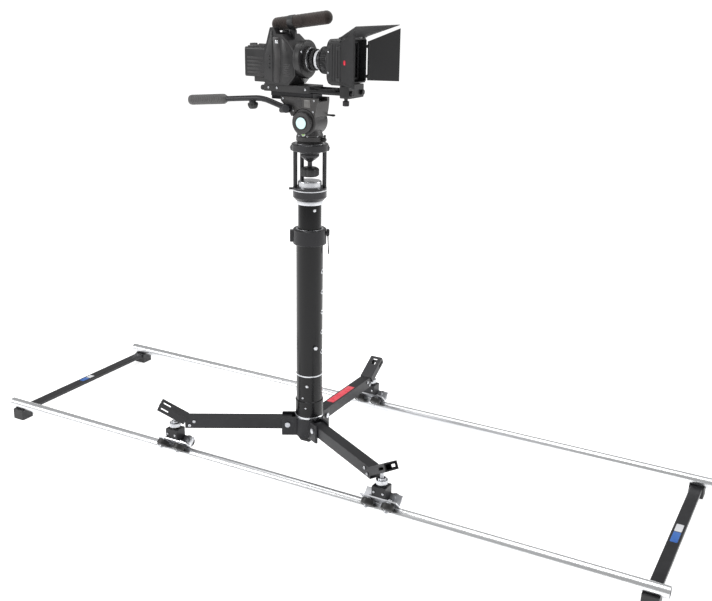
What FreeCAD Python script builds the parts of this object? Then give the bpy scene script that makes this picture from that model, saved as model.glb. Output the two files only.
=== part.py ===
import FreeCAD, Part
import math
import os
import Sketcher

# Two-rail camera slider: a straight track on four feet, a three-legged dolly that rolls on it,
# a telescopic column, a levelling bowl, a fluid head and the camera rig that it carries.
# Millimetres.  X runs along the rails, Y across them, Z up; the origin is on the floor in the
# middle of the track.  Everything from the dolly up is drawn about the column's axis, with
# z = 0 at the height of the rails' centres, and is then moved to its place on the track.

SIZES = {
    # track
    "rail_gauge": 620, "bar_span": 2120, "rail_over": 42, "rail_dia": 32, "rail_wall": 3,
    "joint_dia": 28, "joint_deep": 60, "rail_z": 46, "foot_long": 44, "foot_wide": 46,
    "foot_high": 34, "bar_wide": 34, "bar_thick": 12,
    # dolly hub and legs
    "dolly_x": -39, "hub_dia": 92, "hub_low": 62, "hub_top": 120,
    "socket_out": 84, "socket_wall": 7, "slot_in": 42, "leg_gap": 0.35, "leg_wide": 34,
    "leg_high": 34, "leg_wall": 3, "leg_mid": 97, "leg_start": 54, "stud_inset": 33.3,
    "pin_out": 66, "pin_dia": 8, "pin_gap": 0.05, "bracket_long": 92, "bracket_wide": 42,
    "bracket_deep": 24, "bracket_wall": 4, "bracket_rise": 31, "slot_long": 26,
    "slot_high": 8, "flange_dia": 86, "flange_high": 8, "handle_reach": 62,
    "handle_drop": 34, "handle_rod": 8,
    # bogies
    "wheel_dia": 36, "wheel_wide": 18, "wheel_pitch": 62, "wheel_bore": 8.2, "axle_dia": 8,
    "tread_gap": 0.3, "wing_gap": 4, "wing_long": 34, "wing_thick": 4, "frame_long": 112,
    "head_dia": 13, "head_high": 4.2, "block_long": 42, "block_wide": 40, "block_top": 74,
    "stud_dia": 12, "stud_gap": 0.1, "stud_deep": 14, "nut_dia": 35, "nut_high": 13,
    "collar_dia": 22, "stud_top": 122,
    # column
    "column_dia": 79, "column_wall": 3.5, "column_top": 704, "sleeve_dia": 85,
    "sleeve_top": 178, "clamp_dia": 97, "clamp_low": 665, "clamp_top": 710, "slide_gap": 0.08,
    "hole_dia": 8, "hole_low": 334, "hole_step": 62.5, "mast_dia": 68, "mast_wall": 3,
    "mast_ring_dia": 75, "mast_ring_low": 782.5, "mast_top": 850, "index_z": 353,
    "index_head": 12, "index_dia": 7.8, "index_angle": -35, "face_gap": 0.3,
    "lever_angle": 28, "lever_boss": 22, "lever_long": 66, "lever_z": 698,
    # bowl cage
    "cup_dia": 97, "cup_low": 794, "cup_top": 831.5, "post_dia": 12, "post_circle": 83,
    "ring_low": 935.5, "ring_top": 955.5, "ring_dia": 105, "bowl_dia": 75, "bowl_wall": 3.5,
    "bowl_z": 957.5, "bowl_low": 922.5, "bowl_hole": 28, "knob_dia": 54, "knob_low": 861.5,
    "knob_top": 887.5, "washer_dia": 54, "stem_dia": 12,
    # fluid head
    "neck_dia": 78, "neck_low": 961, "neck_top": 976, "pan_gap": 0.4, "drum_rise": 2,
    "drum_dia": 76, "drum_wide": 72, "tilt_gap": 0.6, "dial_dia": 62, "dial_high": 12,
    "deck_back": -74, "deck_front": 42, "deck_wide": 70, "deck_low": 1058, "deck_top": 1084,
    "rail_slot": 46, "slot_drop": 10, "plate_back": -112, "plate_front": 24,
    "plate_top": 1096, "handle_y": -47, "pivot_x": -46, "pivot_z": 1053, "arm_dia": 16,
    "elbow_back": 79, "elbow_up": 31, "grip_start": 200, "grip_end": 334, "grip_dia": 30,
    "arm_droop": 5,
    # camera rig
    "lens_z": 1185, "base_back": -130, "base_front": 22,
    "base_top": 1115.5, "base_wide": 76, "rod_dia": 15, "rod_space": 60, "rod_front": 152,
    "body_back": -125, "body_front": -20, "body_wide": 92, "body_top": 1250,
    "mount_dia": 104, "mount_front": -4, "battery_back": -194, "battery_wide": 66,
    "battery_low": 1132, "battery_top": 1213, "mic_back": -120, "mic_front": 69,
    "mic_dia": 37, "mic_z": 1286, "mic_rise": 8, "barrel_dia": 50, "lens_front": 90,
    "focus_dia": 74, "focus_back": 44, "focus_front": 74, "box_back": 92, "box_mid": 106,
    "box_front": 134, "box_wide": 150, "box_high": 118, "box_wall": 4, "bore_dia": 96,
    "flag_long": 94, "flag_thick": 1.8, "top_flag_tilt": 23, "top_flag_flare": 50,
    "side_flag_rise": 34, "near_flag_flare": 38, "far_flag_flare": 50, "hinge_dia": 5,
}

LEG_ANGLES = {"left": 210, "right": 330, "rear": 90}
POST_ANGLES = (28, 154, 208)
HALF = math.sqrt(0.5)

doc = FreeCAD.newDocument("CameraSlider")
sheet = doc.addObject("Spreadsheet::Sheet", "Dim")
for row, alias in enumerate(SIZES, 1):
    sheet.set("A%d" % row, alias)
    sheet.set("B%d" % row, str(SIZES[alias]))
    sheet.setAlias("B%d" % row, alias)
doc.recompute()


class Size:
    """A length worked out from the sheet: arithmetic on it writes a longer expression."""

    def __init__(self, text):
        self.text = text

    def __add__(self, other):
        return Size("(%s + %s)" % (self.text, text_of(other)))

    def __radd__(self, other):
        return Size("(%s + %s)" % (text_of(other), self.text))

    def __sub__(self, other):
        return Size("(%s - %s)" % (self.text, text_of(other)))

    def __rsub__(self, other):
        return Size("(%s - %s)" % (text_of(other), self.text))

    def __mul__(self, other):
        return Size("(%s * %s)" % (self.text, text_of(other)))

    __rmul__ = __mul__

    def __truediv__(self, other):
        return Size("(%s / %s)" % (self.text, text_of(other)))

    def __neg__(self):
        return Size("(0 - %s)" % self.text)


class Names:
    """D.rail_gauge stands for the cell of that name."""

    def __getattr__(self, alias):
        if alias not in SIZES:
            raise AttributeError(alias)
        return Size("Dim." + alias)


D = Names()


def text_of(value):
    return value.text if isinstance(value, Size) else "(%.9f)" % value


def number(value):
    return float(sheet.evalExpression(value.text)) if isinstance(value, Size) else float(value)


def put(obj, x=0, y=0, z=0, axis=(0, 0, 1), angle=0):
    """Turns obj about axis and moves its own origin to x, y, z."""
    turn = FreeCAD.Rotation(FreeCAD.Vector(*axis), number(angle))
    obj.Placement = FreeCAD.Placement(FreeCAD.Vector(), turn)
    for letter, value in zip("xyz", (x, y, z)):
        obj.setExpression("Placement.Base." + letter, text_of(value))
    return obj


def on_dolly(obj, label, angle=0):
    """Moves a piece drawn about the column's axis to its place, and names it."""
    put(obj, D.dolly_x, -D.rail_gauge / 6, D.rail_z, angle=angle)
    return named(obj, label)


NODES = []


def named(obj, label):
    obj.Label = label
    NODES.append(obj)
    return obj


def box(x0, x1, y0, y1, z0, z1):
    obj = doc.addObject("Part::Box", "Block")
    obj.setExpression("Length", text_of(x1 - x0))
    obj.setExpression("Width", text_of(y1 - y0))
    obj.setExpression("Height", text_of(z1 - z0))
    return put(obj, x0, y0, z0)


def round_bar(radius, low, high, x=0, y=0, z=0, along="z"):
    """A cylinder from low to high along one axis; the two other coordinates place it."""
    obj = doc.addObject("Part::Cylinder", "Bar")
    obj.setExpression("Radius", text_of(radius))
    obj.setExpression("Height", text_of(high - low))
    if along == "x":
        return put(obj, low, y, z, (0, 1, 0), 90)
    if along == "y":
        return put(obj, x, low, z, (1, 0, 0), -90)
    return put(obj, x, y, low)


def ball(radius, x, y, z):
    obj = doc.addObject("Part::Sphere", "Ball")
    obj.setExpression("Radius", text_of(radius))
    return put(obj, x, y, z)


def fuse(*shapes):
    obj = doc.addObject("Part::MultiFuse", "Fused")
    obj.Shapes = list(shapes)
    return obj


def cut(base, *tools):
    obj = doc.addObject("Part::Cut", "Cut")
    obj.Base = base
    obj.Tool = tools[0] if len(tools) == 1 else fuse(*tools)
    return obj


def group(*shapes):
    obj = doc.addObject("Part::Compound", "Group")
    obj.Links = list(shapes)
    return obj


def outline(body, plane, points):
    """A closed sketch on one of the body's own origin planes, each corner tied to the sheet."""
    sketch = body.newObject("Sketcher::SketchObject", "Outline")
    support = [f for f in body.Origin.OriginFeatures if f.Role == plane][0]
    sketch.AttachmentSupport = (support, [""])
    sketch.MapMode = "FlatFace"
    corners = [FreeCAD.Vector(number(a), number(b), 0) for a, b in points]
    count = len(corners)
    for i in range(count):
        sketch.addGeometry(Part.LineSegment(corners[i], corners[(i + 1) % count]), False)
    for i in range(count):
        sketch.addConstraint(Sketcher.Constraint("Coincident", i, 2, (i + 1) % count, 1))
    for i, pair in enumerate(points):
        for kind, value in zip(("DistanceX", "DistanceY"), pair):
            index = sketch.addConstraint(
                Sketcher.Constraint(kind, -1, 1, i, 1, number(value)))
            sketch.setExpression("Constraints[%d]" % index, text_of(value))
    return sketch


def turned(points):
    """A body of revolution about Z from (radius, height) corners."""
    body = doc.addObject("PartDesign::Body", "Turned")
    sketch = outline(body, "XZ_Plane", points)
    spin = body.newObject("PartDesign::Revolution", "Spin")
    spin.Profile = sketch
    spin.ReferenceAxis = (sketch, ["V_Axis"])
    spin.Angle = 360
    return body


def slab(plane, points, thick):
    """A plate with a straight-sided outline, half its thickness each side of the plane."""
    body = doc.addObject("PartDesign::Body", "Slab")
    sketch = outline(body, plane + "_Plane", points)
    pad = body.newObject("PartDesign::Pad", "Pad")
    pad.Profile = sketch
    pad.SideType = "Symmetric"
    pad.setExpression("Length", text_of(thick))
    return body


def softened(base, radius, wanted):
    """Rounds the edges of base whose direction is wanted (x, y, z or round)."""
    doc.recompute()
    picked = []
    for index, edge in enumerate(base.Shape.Edges, 1):
        straight = isinstance(edge.Curve, Part.Line)
        if wanted == "round" and not straight:
            picked.append(index)
        if wanted != "round" and straight:
            run = edge.tangentAt(edge.FirstParameter)
            if abs(getattr(run, wanted)) > 0.999:
                picked.append(index)
    obj = doc.addObject("Part::Fillet", "Softened")
    obj.Base = base
    obj.Edges = [(index, radius, radius) for index in picked]
    base.Visibility = False
    return obj


# ---------------------------------------------------------------- track

def rail(label, side):
    """An aluminium tube with both ends bored to take the spigot of the next section."""
    half = D.bar_span / 2 + D.rail_over
    y = D.rail_gauge / 2 * side
    tube = round_bar(D.rail_dia / 2, -half, half, y=y, z=D.rail_z, along="x")
    bore = round_bar(D.rail_dia / 2 - D.rail_wall, -half, half, y=y, z=D.rail_z, along="x")
    seats = []
    for start in (-half, half - D.joint_deep):
        seats.append(round_bar(D.joint_dia / 2, start, start + D.joint_deep,
                               y=y, z=D.rail_z, along="x"))
    named(cut(tube, bore, *seats), label)


def rail_feet():
    """Four black blocks with a groove each, in which the rail lies."""
    blocks = []
    for end in (-1, 1):
        for side in (-1, 1):
            x = D.bar_span / 2 * end
            y = D.rail_gauge / 2 * side
            block = box(x - D.foot_long / 2, x + D.foot_long / 2,
                        y - D.foot_wide / 2, y + D.foot_wide / 2, 0, D.foot_high)
            groove = round_bar(D.rail_dia / 2, x - D.foot_long, x + D.foot_long,
                               y=y, z=D.rail_z, along="x")
            blocks.append(cut(softened(block, 3, "z"), groove))
    named(group(*blocks), "rail_feet")


def crossbar(label, end):
    """The flat bar that holds the two rails at their gauge, between a pair of feet."""
    x = D.bar_span / 2 * end
    reach = D.rail_gauge / 2 - D.foot_wide / 2
    bar = box(x - D.bar_wide / 2, x + D.bar_wide / 2, -reach, reach,
              D.foot_high - D.bar_thick, D.foot_high)
    named(softened(bar, 2, "y"), label)


# ---------------------------------------------------------------- dolly

def hub():
    """The casting at the column's foot: a drum with three forked sockets for the legs."""
    body = round_bar(D.hub_dia / 2, D.hub_low, D.hub_top)
    half = D.leg_wide / 2 + D.leg_gap
    forks = []
    slots = []
    for angle in LEG_ANGLES.values():
        fork = box(20, D.socket_out, -half - D.socket_wall, half + D.socket_wall,
                   D.hub_low, D.hub_top)
        forks.append(put(group(softened(fork, 5, "z")), angle=angle))
        slot = box(D.slot_in, D.socket_out + 1, -half, half, D.hub_low - 1, D.hub_top + 1)
        bore = round_bar(D.pin_dia / 2, -half - D.socket_wall - 1, half + D.socket_wall + 1,
                         x=D.pin_out, z=D.leg_mid, along="y")
        slots.append(put(group(slot), angle=angle))
        slots.append(put(group(bore), angle=angle))
    on_dolly(cut(fuse(body, *forks), *slots), "hub")


def leg_pins():
    """The three pins on which the legs fold, each through both cheeks of its socket."""
    half = D.leg_wide / 2 + D.leg_gap + D.socket_wall
    pins = []
    for angle in LEG_ANGLES.values():
        shank = round_bar(D.pin_dia / 2, -half, half, x=D.pin_out, z=D.leg_mid, along="y")
        heads = []
        for start in (-half - 4, half):
            heads.append(round_bar(D.pin_dia, start, start + 4, x=D.pin_out, z=D.leg_mid,
                                   along="y"))
        pins.append(put(fuse(shank, *heads), angle=angle))
    on_dolly(group(*pins), "leg_pins")


def stud_reach():
    """How far out from the column's axis the levelling studs stand."""
    return D.rail_gauge * 2 / 3


def leg_end():
    return stud_reach() - D.stud_inset


def leg(side):
    """A box-section leg whose outer end carries an up-bent slotted bracket."""
    wide = D.leg_wide / 2
    high = D.leg_high / 2
    tube = box(D.leg_start, leg_end(), -wide, wide, D.leg_mid - high, D.leg_mid + high)
    void = box(D.leg_start - 1, leg_end() - 6, D.leg_wall - wide, wide - D.leg_wall,
               D.leg_mid - high + D.leg_wall, D.leg_mid + high - D.leg_wall)
    eye = round_bar(D.pin_dia / 2 + D.pin_gap, -wide - 1, wide + 1, x=D.pin_out,
                    z=D.leg_mid, along="y")
    half = D.bracket_wide / 2
    wall = D.bracket_wall
    deep = D.bracket_deep
    shell = cut(box(0, D.bracket_long, -half, half, -deep, 0),
                box(12, D.bracket_long + 1, wall - half, half - wall,
                    wall - deep, -wall),
                box(D.bracket_long - 8 - D.slot_long, D.bracket_long - 8, -half - 1, half + 1,
                    -deep / 2 - D.slot_high / 2, D.slot_high / 2 - deep / 2),
                box(D.bracket_long - 8 - D.slot_long, D.bracket_long - 8,
                    -D.slot_high, D.slot_high, -deep - 1, 1))
    bracket = put(group(shell), leg_end() - 8, 0, D.leg_mid + high, (0, 1, 0),
                  -D.bracket_rise)
    hole = round_bar(D.stud_dia / 2 + D.stud_gap, D.leg_mid - D.leg_high, D.stud_top + 2,
                     x=stud_reach())
    whole = cut(fuse(cut(tube, void), bracket), eye, hole)
    on_dolly(whole, side + "_leg", LEG_ANGLES[side])


def bogie_centre(side):
    """Where the middle of a bogie lies from the column's axis, above a rail's centre."""
    turn = math.radians(LEG_ANGLES[side])
    return stud_reach() * math.cos(turn), stud_reach() * math.sin(turn)


def seat_on_rail(shape, side, label):
    """Moves a piece drawn about a bogie's middle to its rail, and names it."""
    x, y = bogie_centre(side)
    on_dolly(group(put(group(shape), x, y)), label)


def levelling_stud(side):
    """The screw with its round nut that sets a leg's height over its bogie."""
    low = D.block_top + D.face_gap
    nut = low + 5
    stud = turned([
        (0, low - D.stud_deep), (D.stud_dia / 2, low - D.stud_deep),
        (D.stud_dia / 2, low), (D.collar_dia / 2, low), (D.collar_dia / 2, nut),
        (D.nut_dia / 2 - 1, nut), (D.nut_dia / 2, nut + 1),
        (D.nut_dia / 2, nut + D.nut_high - 1), (D.nut_dia / 2 - 1, nut + D.nut_high),
        (D.collar_dia / 2, nut + D.nut_high), (D.collar_dia / 2, nut + D.nut_high + 5),
        (D.stud_dia / 2, nut + D.nut_high + 5), (D.stud_dia / 2, D.stud_top),
        (0, D.stud_top)])
    seat_on_rail(stud, side, side + "_levelling_stud")


def wing_root():
    """Height of the V frame's lower apex over the rail's centre."""
    return (D.wheel_wide / 2 + D.wing_gap) * math.sqrt(2)


def pivot_block(side):
    """The black block that sits in the V of the wheel frame and takes the stud."""
    root = wing_root() + D.wing_thick * math.sqrt(2)
    half = D.block_wide / 2
    block = slab("YZ", [(0, root), (half, root + half), (half, D.block_top),
                        (-half, D.block_top), (-half, root + half)], D.block_long)
    hole = round_bar(D.stud_dia / 2 + D.stud_gap, D.block_top - D.stud_deep, D.block_top + 1)
    seat_on_rail(cut(block, hole), side, side + "_pivot_block")


def wheel_places():
    """Each wheel's place on its bogie: along the rail, side of the rail, name."""
    half = D.wheel_pitch / 2
    return [(-half, -1, "near_1"), (half, -1, "near_2"), (-half, 1, "far_1"), (half, 1, "far_2")]


def on_wheel_axis(shape, x, facing):
    """Moves a piece drawn about Z to a wheel's axis, Z pointing out and down from the rail."""
    reach = (D.rail_dia / 2 + D.tread_gap + D.wheel_dia / 2) * HALF
    return put(shape, x, reach * facing, reach, (1, 0, 0), -135 * facing)


def wheel_frame(side):
    """A V of aluminium angle with four axle bolts, on which the wheels run."""
    root = wing_root()
    tip = D.wing_long * HALF
    skin = D.wing_thick * HALF
    angle = slab("YZ", [(0, root), (tip, root + tip), (tip - skin, root + tip + skin),
                        (0, root + skin * 2), (skin - tip, root + tip + skin),
                        (-tip, root + tip)], D.frame_long)
    inside = -D.wheel_wide / 2 - D.wing_gap
    bolts = []
    for x, facing, _ in wheel_places():
        bolt = turned([
            (0, inside - D.wing_thick - 5), (D.head_dia / 2, inside - D.wing_thick - 5),
            (D.head_dia / 2, inside - D.wing_thick), (D.axle_dia / 2, inside - D.wing_thick),
            (D.axle_dia / 2, inside), (D.head_dia / 2, inside),
            (D.head_dia / 2, -D.wheel_wide / 2 - D.face_gap),
            (D.axle_dia / 2, -D.wheel_wide / 2 - D.face_gap),
            (D.axle_dia / 2, D.wheel_wide / 2 + D.face_gap),
            (D.head_dia / 2, D.wheel_wide / 2 + D.face_gap),
            (D.head_dia / 2, D.wheel_wide / 2 + D.face_gap + D.head_high),
            (0, D.wheel_wide / 2 + D.face_gap + D.head_high)])
        bolts.append(on_wheel_axis(bolt, x, facing))
    seat_on_rail(fuse(angle, *bolts), side, side + "_wheel_frame")


def wheels(side):
    """Four skate wheels: a rounded tread, with a recess each side round the bearing."""
    half = D.wheel_wide / 2
    rim = D.wheel_dia / 2
    for x, facing, name in wheel_places():
        wheel = turned([
            (D.wheel_bore / 2, -half), (rim * 0.52, -half), (rim * 0.56, 1.4 - half),
            (rim * 0.76, 1.4 - half), (rim * 0.8, -half), (rim - 3, -half),
            (rim - 0.9, 0.9 - half), (rim, 3 - half), (rim, half - 3),
            (rim - 0.9, half - 0.9), (rim - 3, half), (rim * 0.8, half),
            (rim * 0.76, half - 1.4), (rim * 0.56, half - 1.4), (rim * 0.52, half),
            (D.wheel_bore / 2, half)])
        seat_on_rail(on_wheel_axis(group(wheel), x, facing), side, side + "_wheel_" + name)


def column_flange():
    """The bright bolted flange between hub and column."""
    low = D.hub_top
    plate = turned([(0, low), (D.flange_dia / 2, low),
                    (D.flange_dia / 2, low + D.flange_high - 1.5),
                    (D.flange_dia / 2 - 1.5, low + D.flange_high),
                    (0, low + D.flange_high)])
    on_dolly(plate, "column_flange")


def carry_handle():
    """A stiff carrying loop that hangs under the hub."""
    low = D.hub_low - D.handle_drop
    rod = D.handle_rod
    left = -D.hub_dia / 2 + 2
    right = left + D.handle_reach
    outside = [(left, D.hub_low), (left + 5, low + 11), (left + 16, low),
               (right - 16, low), (right - 5, low + 11), (right, D.hub_low)]
    inside = [(right - rod, D.hub_low), (right - rod - 4, low + 14), (right - 18, low + rod),
              (left + 18, low + rod), (left + rod + 4, low + 14), (left + rod, D.hub_low)]
    on_dolly(group(slab("XZ", outside + inside, rod)), "carry_handle")


# ---------------------------------------------------------------- column

def column_tube():
    """The outer tube with its wider foot sleeve and a row of index holes."""
    outer = D.column_dia / 2
    inner = outer - D.column_wall
    low = D.hub_top + D.flange_high
    tube = turned([(inner, low), (D.sleeve_dia / 2, low), (D.sleeve_dia / 2, D.sleeve_top - 2),
                   (outer, D.sleeve_top), (outer, D.column_top), (inner, D.column_top)])
    holes = []
    for step in range(5):
        bar = round_bar(D.hole_dia / 2, inner - 5, outer + 5,
                        z=D.hole_low + D.hole_step * step, along="x")
        holes.append(put(group(bar), angle=8))
    pin = round_bar(D.index_dia / 2 + D.pin_gap, inner - 5, outer + 8, z=D.index_z, along="x")
    holes.append(put(group(pin), angle=D.index_angle))
    on_dolly(cut(tube, *holes), "column_tube")


def clamp_collar():
    """The clamp on the column's top: its lip is the bush that the mast slides in."""
    outer = D.clamp_dia / 2
    lip = D.mast_dia / 2 + D.slide_gap
    body = turned([(D.column_dia / 2, D.clamp_low), (outer - 1.5, D.clamp_low),
                   (outer, D.clamp_low + 1.5), (outer, D.clamp_top - 2),
                   (outer - 2, D.clamp_top), (lip, D.clamp_top), (lip, D.column_top),
                   (D.column_dia / 2, D.column_top)])
    lug = softened(box(outer - 4, outer + 9, -8, 8,
                       D.clamp_low + 5, D.clamp_top - 6), 3, "z")
    on_dolly(fuse(body, put(group(lug), angle=208)), "clamp_collar")


def clamp_lever():
    """The lever that tightens the collar, hanging down beside the column."""
    start = D.clamp_dia / 2 + D.face_gap
    boss = round_bar(D.lever_boss / 2, start, start + 9, z=D.lever_z, along="x")
    arm = softened(box(start + 2, start + 9, -4.5, 4.5,
                       D.lever_z - D.lever_long, D.lever_z), 2, "z")
    lever = put(group(fuse(boss, arm)), angle=D.lever_angle)
    on_dolly(group(lever), "clamp_lever")


def index_pin():
    """The pull pin that the mast rests on, with its knurled head outside the column."""
    outer = D.column_dia / 2 + D.face_gap
    pin = round_bar(D.index_dia / 2, -20, outer, z=D.index_z, along="x")
    head = round_bar(D.index_head / 2, outer, outer + 9, z=D.index_z, along="x")
    on_dolly(group(put(group(fuse(pin, head)), angle=D.index_angle)), "index_pin")


def mast_tube():
    """The sliding inner tube, its stop ring and the polished plug that closes its top."""
    outer = D.mast_dia / 2
    inner = outer - D.mast_wall
    low = D.index_z + D.index_dia / 2 + D.face_gap
    on_dolly(turned([
        (inner, low), (outer, low), (outer, D.mast_ring_low),
        (D.mast_ring_dia / 2, D.mast_ring_low), (D.mast_ring_dia / 2, D.cup_low),
        (outer, D.cup_low), (outer, D.mast_top - 1.5), (outer - 1.5, D.mast_top),
        (0, D.mast_top), (0, D.mast_top - 14), (inner, D.mast_top - 14)]),
        "mast_tube")


# ---------------------------------------------------------------- bowl cage

def cage_cup():
    """The cup clamped round the mast's top, which the cage's posts stand on."""
    outer = D.cup_dia / 2
    body = turned([(D.mast_dia / 2, D.cup_low), (outer - 8, D.cup_low),
                   (outer, D.cup_low + 9), (outer, D.cup_top - 1), (outer - 1, D.cup_top),
                   (D.mast_dia / 2, D.cup_top)])
    screw = round_bar(3.5, outer - 2, outer + 11, z=D.cup_top - 6, along="x")
    on_dolly(fuse(body, put(group(screw), angle=208)), "cage_cup")


def cage_posts():
    """The three posts that lift the bowl off the cup and leave a way in for the hand."""
    posts = []
    for angle in POST_ANGLES:
        post = round_bar(D.post_dia / 2, D.cup_top, D.ring_low, x=D.post_circle / 2)
        posts.append(put(group(post), angle=angle))
    on_dolly(group(*posts), "cage_posts")


def bowl_ring():
    """The levelling bowl: a round seat in a flanged ring, with a lug over each post."""
    outer = D.ring_dia / 2
    disc = turned([(0, D.ring_low), (outer - 1, D.ring_low), (outer, D.ring_low + 1),
                   (outer, D.ring_top - 2), (outer - 2, D.ring_top), (0, D.ring_top)])
    dish = cut(ball(D.bowl_dia / 2 + D.bowl_wall, 0, 0, D.bowl_z),
               box(-60, 60, -60, 60, D.ring_low + 4,
                   D.bowl_z + 60),
               box(-60, 60, -60, 60, D.bowl_z - 60,
                   D.bowl_low))
    lugs = []
    for angle in POST_ANGLES:
        lug = softened(box(outer - 8, outer + 2, -8, 8, D.ring_low, D.ring_top - 6), 3, "z")
        lugs.append(put(group(lug), angle=angle))
    seat = ball(D.bowl_dia / 2, 0, 0, D.bowl_z)
    hole = round_bar(D.bowl_hole / 2, D.bowl_low - 5, D.ring_low)
    on_dolly(cut(fuse(disc, dish, *lugs), seat, hole), "bowl_ring")


def tie_down_knob():
    """The knob, stem and cupped washer that pull the head's ball into its bowl."""
    cup = ball(D.bowl_dia / 2 + D.bowl_wall + D.face_gap, 0, 0, D.bowl_z)
    rim = D.washer_dia / 2
    stem = D.stem_dia / 2
    solid = turned([
        (0, D.knob_low), (D.knob_dia / 2 - 4, D.knob_low),
        (D.knob_dia / 2, D.knob_low + 4), (D.knob_dia / 2, D.knob_top - 5),
        (D.knob_dia / 2 - 5, D.knob_top), (stem + 1, D.knob_top), (stem + 1, D.bowl_low - 18),
        (rim, D.bowl_low - 2), (rim, D.bowl_low + 8), (0, D.bowl_low + 8)])
    core = round_bar(stem, D.bowl_low - 18, D.bowl_low + 16)
    on_dolly(fuse(cut(solid, cup), core), "tie_down_knob")


# ---------------------------------------------------------------- fluid head

def head_base():
    """The half ball that sits in the bowl, with the fixed neck of the pan bearing on it."""
    radius = D.bowl_dia / 2 - D.face_gap
    half = cut(ball(radius, 0, 0, D.bowl_z),
               box(-50, 50, -50, 50, D.bowl_z,
                   D.bowl_z + 60),
               box(-50, 50, -50, 50, D.bowl_z - 60,
                   D.bowl_low + 3))
    neck = turned([(0, D.bowl_z - 4), (radius - 6, D.bowl_z - 4),
                   (radius - 6, D.neck_low), (D.neck_dia / 2 - 3, D.neck_low),
                   (D.neck_dia / 2, D.neck_low + 3), (D.neck_dia / 2, D.neck_top),
                   (0, D.neck_top)])
    hole = round_bar(D.stem_dia / 2 + 0.3, D.bowl_low, D.bowl_low + 18)
    on_dolly(cut(fuse(half, neck), hole), "head_base")


def pan_lock():
    """A small T lever on the neck that locks the pan bearing."""
    start = D.neck_dia / 2 + D.face_gap
    z = (D.neck_low + D.neck_top) / 2
    boss = round_bar(6, start, start + 12, z=z, along="x")
    arm = softened(box(start + 6, start + 12, -3.5, 3.5, z, z + 14), 1.5, "z")
    on_dolly(group(put(group(fuse(boss, arm)), angle=2)), "pan_lock")


def tilt_axis():
    """Height of the tilt axis: the drum clears the neck by a little."""
    return D.neck_top + D.drum_rise + D.drum_dia / 2


def head_body():
    """The turning part of the head: a tapered foot under the drum of the tilt bearing."""
    low = D.neck_top + D.pan_gap
    drum = softened(round_bar(D.drum_dia / 2, -D.drum_wide / 2, D.drum_wide / 2,
                              z=tilt_axis(), along="y"), 4, "round")
    foot = turned([(0, low), (D.neck_dia / 2 - 2, low), (D.neck_dia / 2 - 2, low + 4),
                   (D.neck_dia / 2 - 8, low + 20), (0, low + 20)])
    on_dolly(fuse(foot, drum), "head_body")


def drag_dial():
    """The round dial on the near end of the tilt bearing."""
    start = -D.drum_wide / 2 - D.face_gap
    rim = round_bar(D.dial_dia / 2, start - D.dial_high, start, z=tilt_axis(), along="y")
    badge = round_bar(D.dial_dia * 0.27, start - D.dial_high - 2, start, z=tilt_axis(), along="y")
    on_dolly(group(fuse(softened(rim, 2, "round"), badge)), "drag_dial")


def tilt_lock():
    """The tilt lever on the far end of the drum, pointing forwards."""
    start = D.drum_wide / 2 + D.face_gap
    x = 22
    z = tilt_axis() + 16
    boss = round_bar(7, start, start + 12, x=x, z=z, along="y")
    arm = softened(box(x, x + 34, start + 5, start + 12, z - 4, z + 4), 1.5, "x")
    on_dolly(group(fuse(boss, arm)), "tilt_lock")


def tilt_platform():
    """The tapered deck that rocks on the drum, with a dovetail groove along its top."""
    half = D.deck_wide / 2
    deck = slab("XZ", [
        (D.deck_back, D.deck_top), (D.deck_back, D.deck_top - 12),
        (-52, D.deck_low - 6), (-40, D.deck_low - 26),
        (36, D.deck_low - 26), (40, D.deck_low - 4),
        (D.deck_front, D.deck_top - 12), (D.deck_front, D.deck_top)], D.deck_wide)
    drum = round_bar(D.drum_dia / 2 + D.tilt_gap, -half - 1, half + 1, z=tilt_axis(), along="y")
    groove = box(D.deck_back - 1, D.deck_front + 1, -D.rail_slot / 2, D.rail_slot / 2,
                 D.deck_top - D.slot_drop, D.deck_top + 1)
    lug = round_bar(11, D.handle_y + 9 + D.face_gap, -half + 2,
                    x=D.pivot_x, z=D.pivot_z, along="y")
    web = box(D.pivot_x - 6, D.pivot_x + 20, -half, -half + 10, D.pivot_z - 4,
              D.deck_low + 20)
    knob = round_bar(8, half, half + 14, x=-30, z=D.deck_top - 10, along="y")
    on_dolly(cut(fuse(deck, lug, web, knob), drum, groove), "tilt_platform")


def sliding_plate():
    """The balance plate that slides fore and aft in the deck's groove."""
    half = D.rail_slot / 2 - D.face_gap
    tongue = box(D.plate_back, D.plate_front, -half, half,
                 D.deck_top - D.slot_drop + D.face_gap, D.deck_top + D.face_gap)
    plate = box(D.plate_back, D.plate_front, -half - 6, half + 6,
                D.deck_top + D.face_gap, D.plate_top)
    on_dolly(fuse(tongue, softened(plate, 4, "z")), "sliding_plate")


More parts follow.
